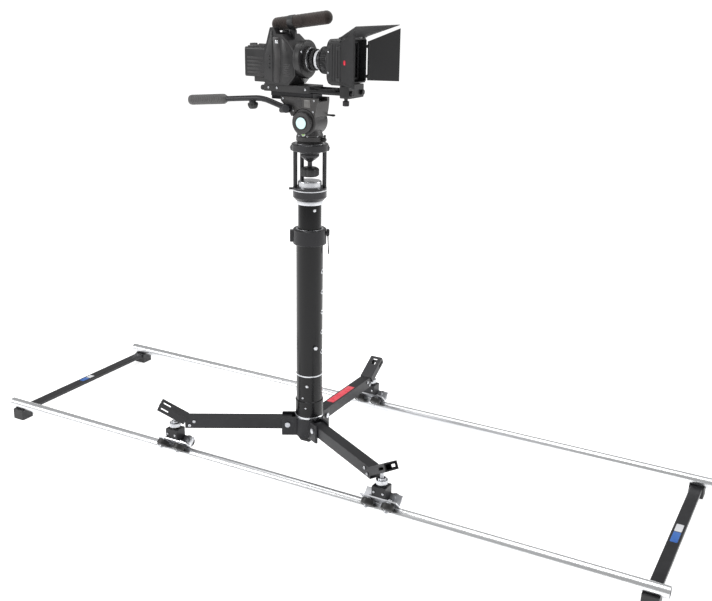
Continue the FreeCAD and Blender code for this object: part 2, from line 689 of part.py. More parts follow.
def pan_handle():
    """The handle: a rosette on the deck's side, a bent arm, a clamp knob and a grip."""
    radius = D.arm_dia / 2
    back = D.elbow_back
    rise = D.elbow_up
    hub_disc = round_bar(12, -8, 9, along="y")
    slope = math.degrees(math.atan2(number(rise), number(back)))
    lower = doc.addObject("Part::Cylinder", "LowerArm")
    lower.setExpression("Radius", text_of(radius))
    lower.setExpression("Height", "sqrt(%s * %s + %s * %s)" % (
        back.text, back.text, rise.text, rise.text))
    put(lower, axis=(0, 1, 0), angle=slope - 90)
    elbow = ball(radius, -back, 0, rise)
    upper = round_bar(radius, -D.grip_start - 10, -back, z=rise, along="x")
    grip = softened(round_bar(D.grip_dia / 2, -D.grip_end, -D.grip_start, z=rise, along="x"),
                    6, "round")
    stem = round_bar(5, rise - 24, rise, x=-back - 34)
    knob = softened(round_bar(15, rise - 30, rise - radius - 4, x=-back - 34), 3, "round")
    whole = group(fuse(hub_disc, lower, elbow, upper, grip, stem, knob))
    put(whole, D.pivot_x, D.handle_y, D.pivot_z, (0, 1, 0), -D.arm_droop)
    on_dolly(group(whole), "pan_handle")


# ---------------------------------------------------------------- camera rig

def rig_base():
    """The camera's base plate, two rods and the bracket that holds the matte box up."""
    half = D.base_wide / 2
    plate = softened(box(D.base_back, D.base_front, -half, half, D.plate_top, D.base_top),
                     5, "z")
    rods = []
    z = D.plate_top + D.rod_dia / 2
    for side in (-1, 1):
        rods.append(round_bar(D.rod_dia / 2, D.base_front - 10, D.rod_front,
                              y=D.rod_space / 2 * side, z=z, along="x"))
    bracket = softened(box(D.rod_front - 34, D.rod_front - 6, -half - 4, half + 4,
                           D.plate_top - 6, D.lens_z - D.box_high / 2), 4, "x")
    stem = round_bar(5, D.plate_top - 16, D.plate_top, x=D.rod_front - 20, y=-half + 6)
    knob = softened(round_bar(9, D.plate_top - 26, D.plate_top - 12,
                              x=D.rod_front - 20, y=-half + 6), 2, "round")
    tail = round_bar(6, D.base_back - 14, D.base_back + 2, y=-half + 14, z=z,
                     along="x")
    on_dolly(fuse(plate, *rods, bracket, stem, knob, tail), "rig_base")


def camera_body():
    """The camera's casing: an upright housing with a sloped shoulder and a round front."""
    low = D.base_top
    back = D.body_back
    front = D.body_front
    top = D.body_top
    case = softened(slab("XZ", [
        (back + 6, low), (front - 22, low), (front, low + 26), (front, top - 44),
        (front - 24, top - 16), (back + 62, top), (back + 46, top), (back + 36, top + 18),
        (back + 24, top + 18), (back + 12, top - 22), (back, top - 52), (back, low + 40)],
        D.body_wide), 3, "y")
    notch = box(back, front, -D.mic_dia / 2 - 4, D.mic_dia / 2 + 4, top, top + 30)
    mount = softened(round_bar(D.mount_dia / 2, front - 6, D.mount_front, z=D.lens_z,
                               along="x"), 4, "round")
    post = softened(box(-62, -46, -8, 8, top - 20, top + 10), 3, "z")
    grip = softened(box(back + 26, -56, -11, 11, top - 6, top + 4), 2, "x")
    on_dolly(fuse(cut(case, notch), mount, post, grip), "camera_body")


def battery():
    """The battery pack on the camera's back, with its plate."""
    half = D.battery_wide / 2
    pack = softened(box(D.battery_back, D.body_back, -half, half,
                        D.battery_low, D.battery_top), 6, "x")
    shelf = softened(box(D.battery_back + 26, D.body_back, -half + 8, half - 8,
                         D.battery_low - 14, D.battery_low + 4), 4, "x")
    on_dolly(fuse(pack, shelf), "battery")


def microphone():
    """The microphone in its foam sleeve, nose up, on the clip over the top handle."""
    length = D.mic_front - D.mic_back
    bar = softened(round_bar(D.mic_dia / 2, 0, length, along="x"), 14, "round")
    lift = length / 2 * math.sin(math.radians(SIZES["mic_rise"]))
    foam = put(group(bar), D.mic_back, 0, D.mic_z - lift, (0, 1, 0), -D.mic_rise)
    clip = round_bar(7, D.body_top + 10, D.mic_z - 12, x=-54)
    on_dolly(fuse(foam, clip), "microphone")


def lens():
    """The lens barrel between the camera's mount and the matte box."""
    rear = D.barrel_dia / 2
    z = D.lens_z
    barrel = round_bar(rear, D.mount_front, D.lens_front, z=z, along="x")
    collar = round_bar(rear + 6, D.mount_front, D.mount_front + 14, z=z, along="x")
    front = round_bar(D.focus_dia / 2, D.focus_front + D.face_gap, D.lens_front, z=z,
                      along="x")
    glass = ball(D.focus_dia / 2 * 1.6, D.lens_front + D.focus_dia * 0.62, 0, z)
    on_dolly(cut(fuse(barrel, collar, front), glass), "lens")


def focus_ring():
    """The toothed focus ring, which turns on the barrel."""
    outer = round_bar(D.focus_dia / 2, D.focus_back, D.focus_front, z=D.lens_z, along="x")
    bore = round_bar(D.barrel_dia / 2 + D.slide_gap, D.focus_back - 1, D.focus_front + 1,
                     z=D.lens_z, along="x")
    on_dolly(cut(softened(outer, 1.5, "round"), bore), "focus_ring")


def matte_box():
    """The filter stage and the open-fronted shade, with hinge rods for its flags."""
    half = D.box_wide / 2
    low = D.lens_z - D.box_high / 2
    top = D.lens_z + D.box_high / 2
    stage = softened(box(D.box_back, D.box_mid, -half + 6, half - 6, low, top), 24, "x")
    shade = softened(box(D.box_mid, D.box_front, -half, half, low, top), 10, "x")
    wall = D.box_wall
    room = box(D.box_mid + 6, D.box_front + 1, wall - half, half - wall, low + wall,
               top - wall)
    eye = round_bar(D.bore_dia / 2, D.box_back - 1, D.box_mid + 7, z=D.lens_z, along="x")
    on_dolly(cut(fuse(stage, shade), room, eye), "matte_box")


def side_flag(label, side, flare):
    """A side flag: a trapezoid plate that grows taller outwards, on an upright hinge."""
    low = D.lens_z - D.box_high / 2 + 5
    top = D.lens_z + D.box_high / 2 - 8
    sheet_part = slab("XZ", [(0, low), (D.flag_long, low - 4),
                             (D.flag_long, top + D.side_flag_rise), (0, top)],
                      D.flag_thick)
    rod = round_bar(D.hinge_dia / 2, low, top)
    flag = group(fuse(sheet_part, rod))
    put(flag, D.box_front + 5, (D.box_wide / 2 + 4) * side, 0, angle=flare)
    on_dolly(group(flag), label)


def top_flag():
    """The top flag: a plate that widens forwards, tilted up from its hinge on the shade."""
    half = D.box_wide / 2
    wide = half + D.top_flag_flare
    body = doc.addObject("PartDesign::Body", "TopFlag")
    sketch = outline(body, "XY_Plane", [(0, -half), (D.flag_long - 12, -wide),
                                        (D.flag_long - 12, wide), (0, half)])
    pad = body.newObject("PartDesign::Pad", "Pad")
    pad.Profile = sketch
    pad.SideType = "Symmetric"
    pad.setExpression("Length", text_of(D.flag_thick))
    rod = round_bar(D.hinge_dia / 2, -half, half, along="y")
    flag = group(fuse(body, rod))
    put(flag, D.box_front, 0, D.lens_z + D.box_high / 2 + 4, (0, 1, 0),
        -D.top_flag_tilt)
    on_dolly(group(flag), "top_flag")


rail("near_rail", -1)
rail("far_rail", 1)
rail_feet()
crossbar("left_crossbar", -1)
crossbar("right_crossbar", 1)
hub()
column_flange()
leg_pins()
carry_handle()
for name in LEG_ANGLES:
    leg(name)
    levelling_stud(name)
    pivot_block(name)
    wheel_frame(name)
    wheels(name)
column_tube()
clamp_collar()
clamp_lever()
index_pin()
mast_tube()
cage_cup()
cage_posts()
bowl_ring()
tie_down_knob()
head_base()
pan_lock()
head_body()
drag_dial()
tilt_lock()
tilt_platform()
sliding_plate()
pan_handle()
rig_base()
camera_body()
battery()
microphone()
lens()
focus_ring()
matte_box()
side_flag("near_flag", -1, -D.near_flag_flare)
side_flag("far_flag", 1, D.far_flag_flare)
top_flag()
doc.recompute()

for item in doc.Objects:
    if "Invalid" in item.State or "Error" in item.State:
        raise RuntimeError("%s (%s) did not build: %s" % (item.Name, item.Label, item.State))
os.makedirs("parts", exist_ok=True)
for node in NODES:
    if node.Shape.isNull() or not node.Shape.isValid() or not node.Shape.Solids:
        raise RuntimeError("%s has no valid solid" % node.Label)
    node.Shape.exportStep("parts/%s.step" % node.Label)
print(len(NODES), "nodes")
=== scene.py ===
import math

import bmesh
import bpy
import numpy as np
from mathutils import Matrix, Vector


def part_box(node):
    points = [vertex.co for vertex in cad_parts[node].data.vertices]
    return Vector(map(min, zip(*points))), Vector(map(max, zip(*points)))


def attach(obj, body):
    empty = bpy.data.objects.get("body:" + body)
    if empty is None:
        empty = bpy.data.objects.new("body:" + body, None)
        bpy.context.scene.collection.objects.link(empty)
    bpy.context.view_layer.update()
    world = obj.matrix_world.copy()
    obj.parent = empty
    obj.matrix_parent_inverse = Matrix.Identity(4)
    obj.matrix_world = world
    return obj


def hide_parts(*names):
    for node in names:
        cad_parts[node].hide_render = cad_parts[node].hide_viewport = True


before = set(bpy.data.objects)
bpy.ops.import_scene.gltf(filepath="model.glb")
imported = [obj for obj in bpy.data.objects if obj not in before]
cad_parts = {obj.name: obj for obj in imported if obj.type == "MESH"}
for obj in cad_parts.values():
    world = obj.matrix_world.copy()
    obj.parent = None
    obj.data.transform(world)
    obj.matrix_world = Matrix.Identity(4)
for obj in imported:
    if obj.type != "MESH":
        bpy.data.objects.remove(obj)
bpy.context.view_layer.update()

# ------------------------------------------------------------------ track: the two rails
# Drawn aluminium tubes with a satin skin.


def add_node(tree, kind, preset=None, **values):
    """Adds one shader node, sets its plain properties, then the inputs that preset names."""
    made = tree.nodes.new(kind)
    for key, value in values.items():
        setattr(made, key, value)
    for socket, value in (preset or {}).items():
        made.inputs[socket].default_value = value
    return made


def new_group(name, inputs, outputs):
    """An empty shader group with its sockets: inputs are (name, kind, default)."""
    tree = bpy.data.node_groups.new(name, "ShaderNodeTree")
    for label, kind, default in inputs:
        made = tree.interface.new_socket(label, in_out="INPUT", socket_type=kind)
        if default is not None:
            made.default_value = default
    for label, kind in outputs:
        tree.interface.new_socket(label, in_out="OUTPUT", socket_type=kind)
    return tree, tree.nodes.new("NodeGroupInput"), tree.nodes.new("NodeGroupOutput")


def worn_edge_group():
    """Where a face turns a corner the bevelled normal leans off the true one; that lean,
    broken up by noise, is the worn mask.  The bevelled normal itself rounds the corner."""
    tree, given, out = new_group(
        "worn_edge",
        [("Vector", "NodeSocketVector", None), ("Width", "NodeSocketFloat", 0.0008),
         ("Amount", "NodeSocketFloat", 0.5), ("Scale", "NodeSocketFloat", 60.0)],
        [("Mask", "NodeSocketFloat"), ("Normal", "NodeSocketVector")])
    link = tree.links.new
    bevel = add_node(tree, "ShaderNodeBevel", samples=4)
    link(given.outputs["Width"], bevel.inputs["Radius"])
    real = add_node(tree, "ShaderNodeNewGeometry")
    lean = add_node(tree, "ShaderNodeVectorMath", operation="DOT_PRODUCT")
    link(bevel.outputs["Normal"], lean.inputs[0])
    link(real.outputs["Normal"], lean.inputs[1])
    edge = add_node(tree, "ShaderNodeMapRange", {"From Min": 0.995, "From Max": 0.86},
                    interpolation_type="SMOOTHSTEP")
    link(lean.outputs["Value"], edge.inputs["Value"])
    chips = add_node(tree, "ShaderNodeTexNoise", {"Detail": 5})
    link(given.outputs["Vector"], chips.inputs["Vector"])
    link(given.outputs["Scale"], chips.inputs["Scale"])
    worn = add_node(tree, "ShaderNodeMapRange", {"From Min": 0.46, "From Max": 0.62})
    link(chips.outputs["Fac"], worn.inputs["Value"])
    both = add_node(tree, "ShaderNodeMath", operation="MULTIPLY")
    link(edge.outputs["Result"], both.inputs[0])
    link(worn.outputs["Result"], both.inputs[1])
    share = add_node(tree, "ShaderNodeMath", operation="MULTIPLY", use_clamp=True)
    link(both.outputs["Value"], share.inputs[0])
    link(given.outputs["Amount"], share.inputs[1])
    link(share.outputs["Value"], out.inputs["Mask"])
    link(bevel.outputs["Normal"], out.inputs["Normal"])
    return tree


def grain_group():
    """Two octaves of noise for the fine height of a surface, and a slow one for its tone."""
    tree, given, out = new_group(
        "surface_grain",
        [("Vector", "NodeSocketVector", None), ("Scale", "NodeSocketFloat", 400.0),
         ("Tone Scale", "NodeSocketFloat", 9.0)],
        [("Height", "NodeSocketFloat"), ("Tone", "NodeSocketFloat")])
    link = tree.links.new
    fine = add_node(tree, "ShaderNodeTexNoise", {"Detail": 3, "Roughness": 0.62})
    link(given.outputs["Vector"], fine.inputs["Vector"])
    link(given.outputs["Scale"], fine.inputs["Scale"])
    slow = add_node(tree, "ShaderNodeTexNoise", {"Detail": 6, "Roughness": 0.6})
    link(given.outputs["Vector"], slow.inputs["Vector"])
    link(given.outputs["Tone Scale"], slow.inputs["Scale"])
    spread = add_node(tree, "ShaderNodeMapRange", {"From Min": 0.32, "From Max": 0.68},
                      interpolation_type="SMOOTHSTEP")
    link(slow.outputs["Fac"], spread.inputs["Value"])
    link(fine.outputs["Fac"], out.inputs["Height"])
    link(spread.outputs["Result"], out.inputs["Tone"])
    return tree


WORN_EDGE = worn_edge_group()
SURFACE_GRAIN = grain_group()


def finish(name, colour, second, rough, spread, metallic=0.0, grain=400.0, depth=0.00002,
           push=0.25, tone=9.0, stretch=(1, 1, 1), edge=0.0007, wear=0.5,
           bare=(0.45, 0.45, 0.46), bare_rough=0.32, bare_metal=1.0, **sockets):
    """A surface: two tones of one colour, roughness that drifts with the tone, a fine grain
    pressed in as bump, and corners rounded and worn down to what lies under the skin."""
    made = bpy.data.materials.new(name)
    made.use_nodes = True
    tree = made.node_tree
    link = tree.links.new
    shader = tree.nodes["Principled BSDF"]
    place = add_node(tree, "ShaderNodeTexCoord")
    scaled = add_node(tree, "ShaderNodeMapping", {"Scale": stretch})
    link(place.outputs["Object"], scaled.inputs["Vector"])
    skin = add_node(tree, "ShaderNodeGroup", {"Scale": grain, "Tone Scale": tone},
                    node_tree=SURFACE_GRAIN)
    link(scaled.outputs["Vector"], skin.inputs["Vector"])
    corner = add_node(tree, "ShaderNodeGroup", {"Width": edge, "Amount": wear},
                      node_tree=WORN_EDGE)
    link(place.outputs["Object"], corner.inputs["Vector"])
    tint = add_node(tree, "ShaderNodeMix", {"A": (*colour, 1), "B": (*second, 1)},
                    data_type="RGBA")
    link(skin.outputs["Tone"], tint.inputs["Factor"])
    shown = add_node(tree, "ShaderNodeMix", {"B": (*bare, 1)}, data_type="RGBA")
    link(corner.outputs["Mask"], shown.inputs["Factor"])
    link(tint.outputs["Result"], shown.inputs["A"])
    link(shown.outputs["Result"], shader.inputs["Base Color"])
    drift = add_node(tree, "ShaderNodeMapRange",
                     {"To Min": rough - spread, "To Max": rough + spread})
    link(skin.outputs["Tone"], drift.inputs["Value"])
    gloss = add_node(tree, "ShaderNodeMix", {"B": bare_rough}, data_type="FLOAT")
    link(corner.outputs["Mask"], gloss.inputs["Factor"])
    link(drift.outputs["Result"], gloss.inputs["A"])
    link(gloss.outputs["Result"], shader.inputs["Roughness"])
    if metallic == bare_metal:
        shader.inputs["Metallic"].default_value = metallic
    else:
        metal = add_node(tree, "ShaderNodeMix", {"A": metallic, "B": bare_metal},
                         data_type="FLOAT")
        link(corner.outputs["Mask"], metal.inputs["Factor"])
        link(metal.outputs["Result"], shader.inputs["Metallic"])
    bump = add_node(tree, "ShaderNodeBump", {"Strength": push, "Distance": depth})
    link(skin.outputs["Height"], bump.inputs["Height"])
    link(corner.outputs["Normal"], bump.inputs["Normal"])
    link(bump.outputs["Normal"], shader.inputs["Normal"])
    for label, value in sockets.items():
        shader.inputs[label.replace("_", " ")].default_value = value
    return made


def dress(names, finish_of):
    """Gives CAD nodes a finish in place of the plain one they came with."""
    for name in names:
        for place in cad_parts[name].material_slots:
            place.material = finish_of


DRAWN_TUBE = finish(
    "drawn_tube", (0.80, 0.81, 0.82), (0.68, 0.69, 0.71), 0.30, 0.07, metallic=1.0,
    grain=220, depth=0.00004, push=0.18, tone=14, stretch=(0.06, 1.6, 1.6), edge=0.0006,
    wear=0.4, bare=(0.9, 0.9, 0.9), bare_rough=0.2)
dress(["near_rail", "far_rail"], DRAWN_TUBE)

# ------------------------------------------------------------------ track: feet and crossbars
# Four moulded blocks hold the tubes in open grooves.  A flat extruded bar joins each pair;
# it is black anodised, and a thin plain strip in two colours is stuck on its middle.

MOULDED_FOOT = finish(
    "moulded_foot", (0.012, 0.012, 0.013), (0.022, 0.022, 0.024), 0.50, 0.10, grain=900,
    depth=0.00006, push=0.35, tone=22, wear=0.6, bare=(0.09, 0.09, 0.095), bare_rough=0.6,
    bare_metal=0.0)
BLACK_ANODISE = finish(
    "black_anodise", (0.012, 0.012, 0.014), (0.020, 0.020, 0.023), 0.36, 0.06,
    metallic=0.35, grain=1400, depth=0.00002, push=0.25, tone=11, edge=0.0009, wear=0.55,
    bare=(0.30, 0.30, 0.32), bare_rough=0.38)
dress(["rail_feet"], MOULDED_FOOT)
dress(["left_crossbar", "right_crossbar"], BLACK_ANODISE)


def grid(points, round_rows=False, round_columns=False):
    """Quads between neighbours of a (rows, columns, 3) grid; either way may close on itself."""
    rows, columns = points.shape[:2]
    index = np.arange(rows * columns).reshape(rows, columns)
    if round_rows:
        index = np.vstack([index, index[:1]])
    if round_columns:
        index = np.hstack([index, index[:, :1]])
    quads = np.stack([index[:-1, :-1], index[:-1, 1:], index[1:, 1:], index[1:, :-1]], -1)
    return points.reshape(-1, 3), quads.reshape(-1, 4).tolist()


def capped(rings):
    """A grid of closed rings whose first and last ring are filled with a face each."""
    count = rings.shape[1]
    last = (len(rings) - 1) * count
    points, faces = grid(rings, round_columns=True)
    faces.append(list(range(count))[::-1])
    faces.append(list(range(last, last + count)))
    return points, faces


def eased(points, reach, steps=3, closed=False):
    """Each corner P between A and B gives way to the parabola (1-s)^2 a + 2s(1-s) P + s^2 b,
    where a and b lie reach from P on its two sides.  An open line keeps its two ends."""
    line = np.array(points, float)
    back = np.roll(line, 1, 0) - line
    on = np.roll(line, -1, 0) - line
    length_back = np.linalg.norm(back, axis=1, keepdims=True)
    length_on = np.linalg.norm(on, axis=1, keepdims=True)
    start = line + back * np.minimum(reach / np.maximum(length_back, 1e-9), 0.45)
    stop = line + on * np.minimum(reach / np.maximum(length_on, 1e-9), 0.45)
    s = np.linspace(0, 1, steps + 1)[None, :, None]
    curve = (1 - s) ** 2 * start[:, None] + 2 * s * (1 - s) * line[:, None] + s ** 2 * stop[:, None]
    if closed:
        return curve.reshape(-1, line.shape[1])
    inner = curve[1:-1].reshape(-1, line.shape[1])
    return np.vstack([line[:1], inner, line[-1:]])


def spun(profile, steps=56, along="z", centre=(0, 0, 0), lobes=0, depth=0.0, rows=None):
    """Profile (radius, height) swept round an axis.  With lobes, the radius of the rows named
    is scaled by 1 - depth (1 - |cos(lobes a / 2)|), which cuts flutes or knurls."""
    profile = np.array(profile, float)
    turn = np.linspace(0, 2 * math.pi, steps, endpoint=False)
    radius = np.repeat(profile[:, :1], steps, 1)
    if lobes:
        wave = 1 - depth * (1 - np.abs(np.cos(turn * lobes / 2)))
        chosen = np.ones(len(profile), bool) if rows is None else np.isin(
            np.arange(len(profile)), rows)
        radius = np.where(chosen[:, None], radius * wave[None, :], radius)
    height = np.repeat(profile[:, 1:2], steps, 1)
    a, b = radius * np.cos(turn), radius * np.sin(turn)
    order = {"z": (a, b, height), "x": (height, a, b), "y": (b, height, a)}[along]
    return grid(np.stack(order, -1) + np.array(centre, float), round_columns=True)


def turned_about(shape, angle, axis="z"):
    """The same mesh turned by angle degrees about one axis through the origin."""
    points, faces = shape
    c, s = math.cos(math.radians(angle)), math.sin(math.radians(angle))
    matrix = {"z": [[c, -s, 0], [s, c, 0], [0, 0, 1]], "y": [[c, 0, s], [0, 1, 0], [-s, 0, c]],
              "x": [[1, 0, 0], [0, c, -s], [0, s, c]]}[axis]
    return points @ np.array(matrix).T, faces


def moved(shape, x=0, y=0, z=0):
    """The same mesh shifted."""
    return shape[0] + np.array([x, y, z], float), shape[1]


def slab(outline, low, high, edge=0.8, across="z"):
    """A closed outline given thickness: its rim follows a quarter round of radius edge at
    both faces, where the outline is drawn in along its own inward normals."""
    line = np.array(outline, float)
    ahead = np.roll(line, -1, 0) - np.roll(line, 1, 0)
    ahead /= np.maximum(np.linalg.norm(ahead, axis=1, keepdims=True), 1e-9)
    area = np.sum(line[:, 0] * np.roll(line[:, 1], -1) - np.roll(line[:, 0], -1) * line[:, 1])
    inward = np.stack([-ahead[:, 1], ahead[:, 0]], 1) * (1 if area > 0 else -1)
    q = np.linspace(0, math.pi / 2, 3)
    drawn = np.concatenate([edge * (1 - np.sin(q)), edge * (1 - np.cos(q))])
    level = np.concatenate([low + edge * (1 - np.cos(q)), high - edge * (1 - np.sin(q))])
    rim = line[None] + inward[None] * drawn[:, None, None]
    tall = np.broadcast_to(level[:, None, None], rim.shape[:2] + (1,))
    if across == "z":
        solid = np.concatenate([rim, tall], -1)
    elif across == "y":
        solid = np.concatenate([rim[..., :1], tall, rim[..., 1:]], -1)
    else:
        solid = np.concatenate([tall, rim], -1)
    return capped(solid)


def corners(left, right, low, high):
    """The four corners of a rectangle."""
    return [(left, low), (right, low), (right, high), (left, high)]


def oblong(wide, tall, corner, x=0, y=0):
    """A rectangle's outline with rounded corners about x, y."""
    a, b = wide / 2, tall / 2
    return eased(corners(x - a, x + a, y - b, y + b), corner, 5, closed=True)


def carried(section, path, widths=None, up=(0, 1, 0)):
    """A closed section (n, 2) carried along a path (m, 3): at each station it stands across
    the path's direction, one side of it towards up, scaled by that station's width."""
    path = np.array(path, float)
    ahead = np.gradient(path, axis=0)
    ahead /= np.linalg.norm(ahead, axis=1, keepdims=True)
    over = np.array(up, float) - ahead * (ahead @ np.array(up, float))[:, None]
    over /= np.linalg.norm(over, axis=1, keepdims=True)
    beside = np.cross(ahead, over)
    scale = np.ones(len(path)) if widths is None else np.array(widths, float)
    section = np.array(section, float)
    return capped(path[:, None] + scale[:, None, None] * (
        section[None, :, :1] * beside[:, None] + section[None, :, 1:] * over[:, None]))


def circle(radius, steps):
    """Points round a circle, for carried()."""
    turn = np.linspace(0, 2 * math.pi, steps, endpoint=False)
    return np.stack([radius * np.cos(turn), radius * np.sin(turn)], 1)


def disc(radius, low, high, ease):
    """The profile of a plain round bar with eased rims, for spun()."""
    return eased(corners(0.01, radius, low, high), ease)


def hoop(inner, outer, low, high, ease, steps=96, **placed):
    """A ring of oblong section with eased corners."""
    return spun(eased(corners(inner, outer, low, high), ease, closed=True), steps, **placed)


SHARP_ANGLE = math.radians(38)


def piece(name, body, taken_from, *layers, origin=None):
    """One object from several meshes: each layer is (finish, mesh, ...), in millimetres from
    the column's axis at rail height, or from origin."""
    points, faces, which = [], [], []
    made = bpy.data.meshes.new(name)
    start = 0
    for number, (finish_of, *meshes) in enumerate(layers):
        made.materials.append(finish_of)
        for verts, polygons in meshes:
            points.append(verts)
            faces.extend([[start + i for i in face] for face in polygons])
            which.extend([number] * len(polygons))
            start += len(verts)
    place = np.array(DOLLY if origin is None else origin, float)
    made.from_pydata((np.vstack(points) * 0.001 + place).tolist(), [], faces)
    made.polygons.foreach_set("material_index", np.array(which, np.int32))
    work = bmesh.new()
    work.from_mesh(made)
    bmesh.ops.remove_doubles(work, verts=work.verts, dist=2e-6)
    bmesh.ops.recalc_face_normals(work, faces=work.faces)
    work.to_mesh(made)
    work.free()
    made.polygons.foreach_set("use_smooth", np.ones(len(made.polygons), bool))
    made.set_sharp_from_angle(angle=SHARP_ANGLE)
    shown = bpy.data.objects.new(name, made)
    bpy.context.scene.collection.objects.link(shown)
    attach(shown, body)
    return shown


low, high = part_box("column_tube")
DOLLY = ((low.x + high.x) / 2, (low.y + high.y) / 2, sum(c.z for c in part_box("near_rail")) / 2)
STRIP_SKIN = {"spread": 0.05, "grain": 500, "push": 0.1, "tone": 40, "wear": 0.3,
              "bare_rough": 0.5, "bare_metal": 0.0}
BLUE_STRIP = finish("blue_strip", (0.03, 0.12, 0.42), (0.04, 0.15, 0.48), 0.30,
                    bare=(0.6, 0.62, 0.66), **STRIP_SKIN)
WHITE_STRIP = finish("white_strip", (0.72, 0.73, 0.75), (0.64, 0.65, 0.68), 0.32,
                     bare=(0.5, 0.5, 0.5), **STRIP_SKIN)
for end, reach in (("right", 52), ("left", 30)):
    low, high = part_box(end + "_crossbar")
    top = high.z * 1000
    x = (low.x + high.x) * 500
    piece(end + "_crossbar_strip", "track", "black_alloy",
          (BLUE_STRIP, slab(oblong(20, reach * 1.1, 3, x, -reach * 0.5), top, top + 0.5, 0.2)),
          (WHITE_STRIP, slab(oblong(20, reach * 0.8, 3, x, reach * 0.5), top, top + 0.5, 0.2)),
          origin=(0, 0, 0))

# ------------------------------------------------------------------ dolly: hub and legs
# The hub is a black anodised casting under a bright flange held by six socket screws.
# Three box-section legs fold on pins; bright bolts fix the bent bracket to each leg's end,
# and the rear leg carries a plain red strip.

dress(["hub", "carry_handle", "left_leg", "right_leg", "rear_leg"], BLACK_ANODISE)
BRIGHT_STEEL = finish(
    "bright_steel", (0.66, 0.67, 0.69), (0.52, 0.53, 0.56), 0.26, 0.07, metallic=1.0,
    grain=900, depth=0.00002, push=0.2, tone=30, edge=0.0005, wear=0.3,
    bare=(0.85, 0.85, 0.86), bare_rough=0.18)
RED_STRIP = finish("red_strip", (0.78, 0.06, 0.09), (0.84, 0.10, 0.13), 0.30,
                   bare=(0.75, 0.5, 0.5), **STRIP_SKIN)
dress(["column_flange", "leg_pins"], BRIGHT_STEEL)


def socket_screw(radius, high):
    """A cap screw's head from z = 0 up: plain sides, an eased rim and a six-sided socket,
    whose radius follows r cos(30) / cos(a mod 60 - 30)."""
    steps = 24
    socket = radius * 0.56
    head = eased([(0.01, 0), (radius, 0), (radius, high), (socket, high)], radius * 0.16, 2)
    body = spun(head, steps)
    turn = np.linspace(0, 2 * math.pi, steps, endpoint=False)
    hexagon = socket * math.cos(math.pi / 6) / np.cos(
        np.mod(turn, math.pi / 3) - math.pi / 6)
    level = np.array([high, high - 0.2, high * 0.35, high * 0.35])
    reach = np.array([1.16, 1.0, 1.0, 0.02])
    ring = np.stack([np.outer(reach, hexagon * np.cos(turn)),
                     np.outer(reach, hexagon * np.sin(turn)),
                     np.repeat(level[:, None], steps, 1)], -1)
    ring[0, :, 0], ring[0, :, 1] = socket * np.cos(turn), socket * np.sin(turn)
    return [body, grid(ring, round_columns=True)]


def cap_screws(places, radius, high, axis):
    """Cap screws seated at x, y, z places: their heads face -y for axis x, and +x for y."""
    return [moved(turned_about(layer, 90, axis), *place)
            for place in places for layer in socket_screw(radius, high)]


flange_top = (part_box("column_flange")[1].z - DOLLY[2]) * 1000
SCREW_CIRCLE, SCREW_SEAT = 39.4, 7.2
screws = [turned_about(moved(layer, SCREW_CIRCLE, 0, flange_top - SCREW_SEAT), angle)
          for angle in range(15, 375, 60) for layer in socket_screw(2.9, 2.6)]
piece("flange_screws", "dolly", "bright_steel", (BRIGHT_STEEL, *screws))

LEG_ANGLES = {"left": 210, "right": 330, "rear": 90}
LEG_Z = 97.0
for side, angle in LEG_ANGLES.items():
    bolts = []
    for across in (-1, 1):
        for out, high in ((352, LEG_Z + 6), (366, LEG_Z - 7)):
            for layer in socket_screw(4.6, 3.4):
                layer = turned_about(layer, 90 * -across, "x")
                bolts.append(turned_about(moved(layer, out, across * 17.0, high), angle))
    piece(side + "_leg_bolts", side + "_leg", "bright_steel", (BRIGHT_STEEL, *bolts))
strip = slab(oblong(143, 25, 3, 199, 0), LEG_Z + 17, LEG_Z + 17.5, 0.2)
piece("rear_leg_strip", "rear_leg", "black_alloy",
      (RED_STRIP, turned_about(strip, LEG_ANGLES["rear"])))

# ------------------------------------------------------------------ bogies
# A knurled steel screw stands in a black block on a V of satin aluminium angle.  Four dark
# skate wheels run on bright bearings and axle bolts, and hug the tube from both sides.

SATIN_ANGLE = finish(
    "satin_angle", (0.70, 0.71, 0.73), (0.58, 0.59, 0.62), 0.34, 0.08, metallic=1.0,
    grain=300, depth=0.00003, push=0.2, tone=20, stretch=(0.1, 1.5, 1.5), edge=0.0006,
    wear=0.4, bare=(0.88, 0.88, 0.9), bare_rough=0.22)
WHEEL_TREAD = finish(
    "wheel_tread", (0.012, 0.012, 0.012), (0.030, 0.029, 0.028), 0.42, 0.10, grain=1500,
    depth=0.00005, push=0.3, tone=60, wear=0.35, bare=(0.06, 0.058, 0.055),
    bare_rough=0.6, bare_metal=0.0)
BOGIE_OUT = 620 * 2 / 3
WHEEL_REACH = 34.3 * math.sqrt(0.5)


def knurled_screw():
    """The levelling screw: a pad, a knurled wheel, a locking ring with six flats, a threaded
    top whose radius dips once for each turn of its thread, and the plain foot below."""
    pad = spun(disc(11.8, 74.4, 79.6, 0.6))
    wheel = spun(eased([(6, 79.4), (17.3, 79.4), (17.3, 92.2), (6, 92.2)], 1.0), 192,
                 lobes=48, depth=0.045)
    nut = spun(eased([(5, 92.3), (12.0, 92.3), (12.0, 97.2), (5, 97.2)], 0.5), 96, lobes=6,
               depth=0.13)
    high = np.linspace(96, 121, 76)
    thread = 5.75 - 0.32 * np.abs(np.sin(high * math.pi / 1.5))
    bar = spun(np.vstack([[(0.01, 96)], np.stack([thread, high], 1), [(4.6, 122), (0.01, 122)]]),
               24)
    foot = spun(disc(5.9, 60.4, 75, 0.5), 24)
    return [pad, wheel, nut, bar, foot]


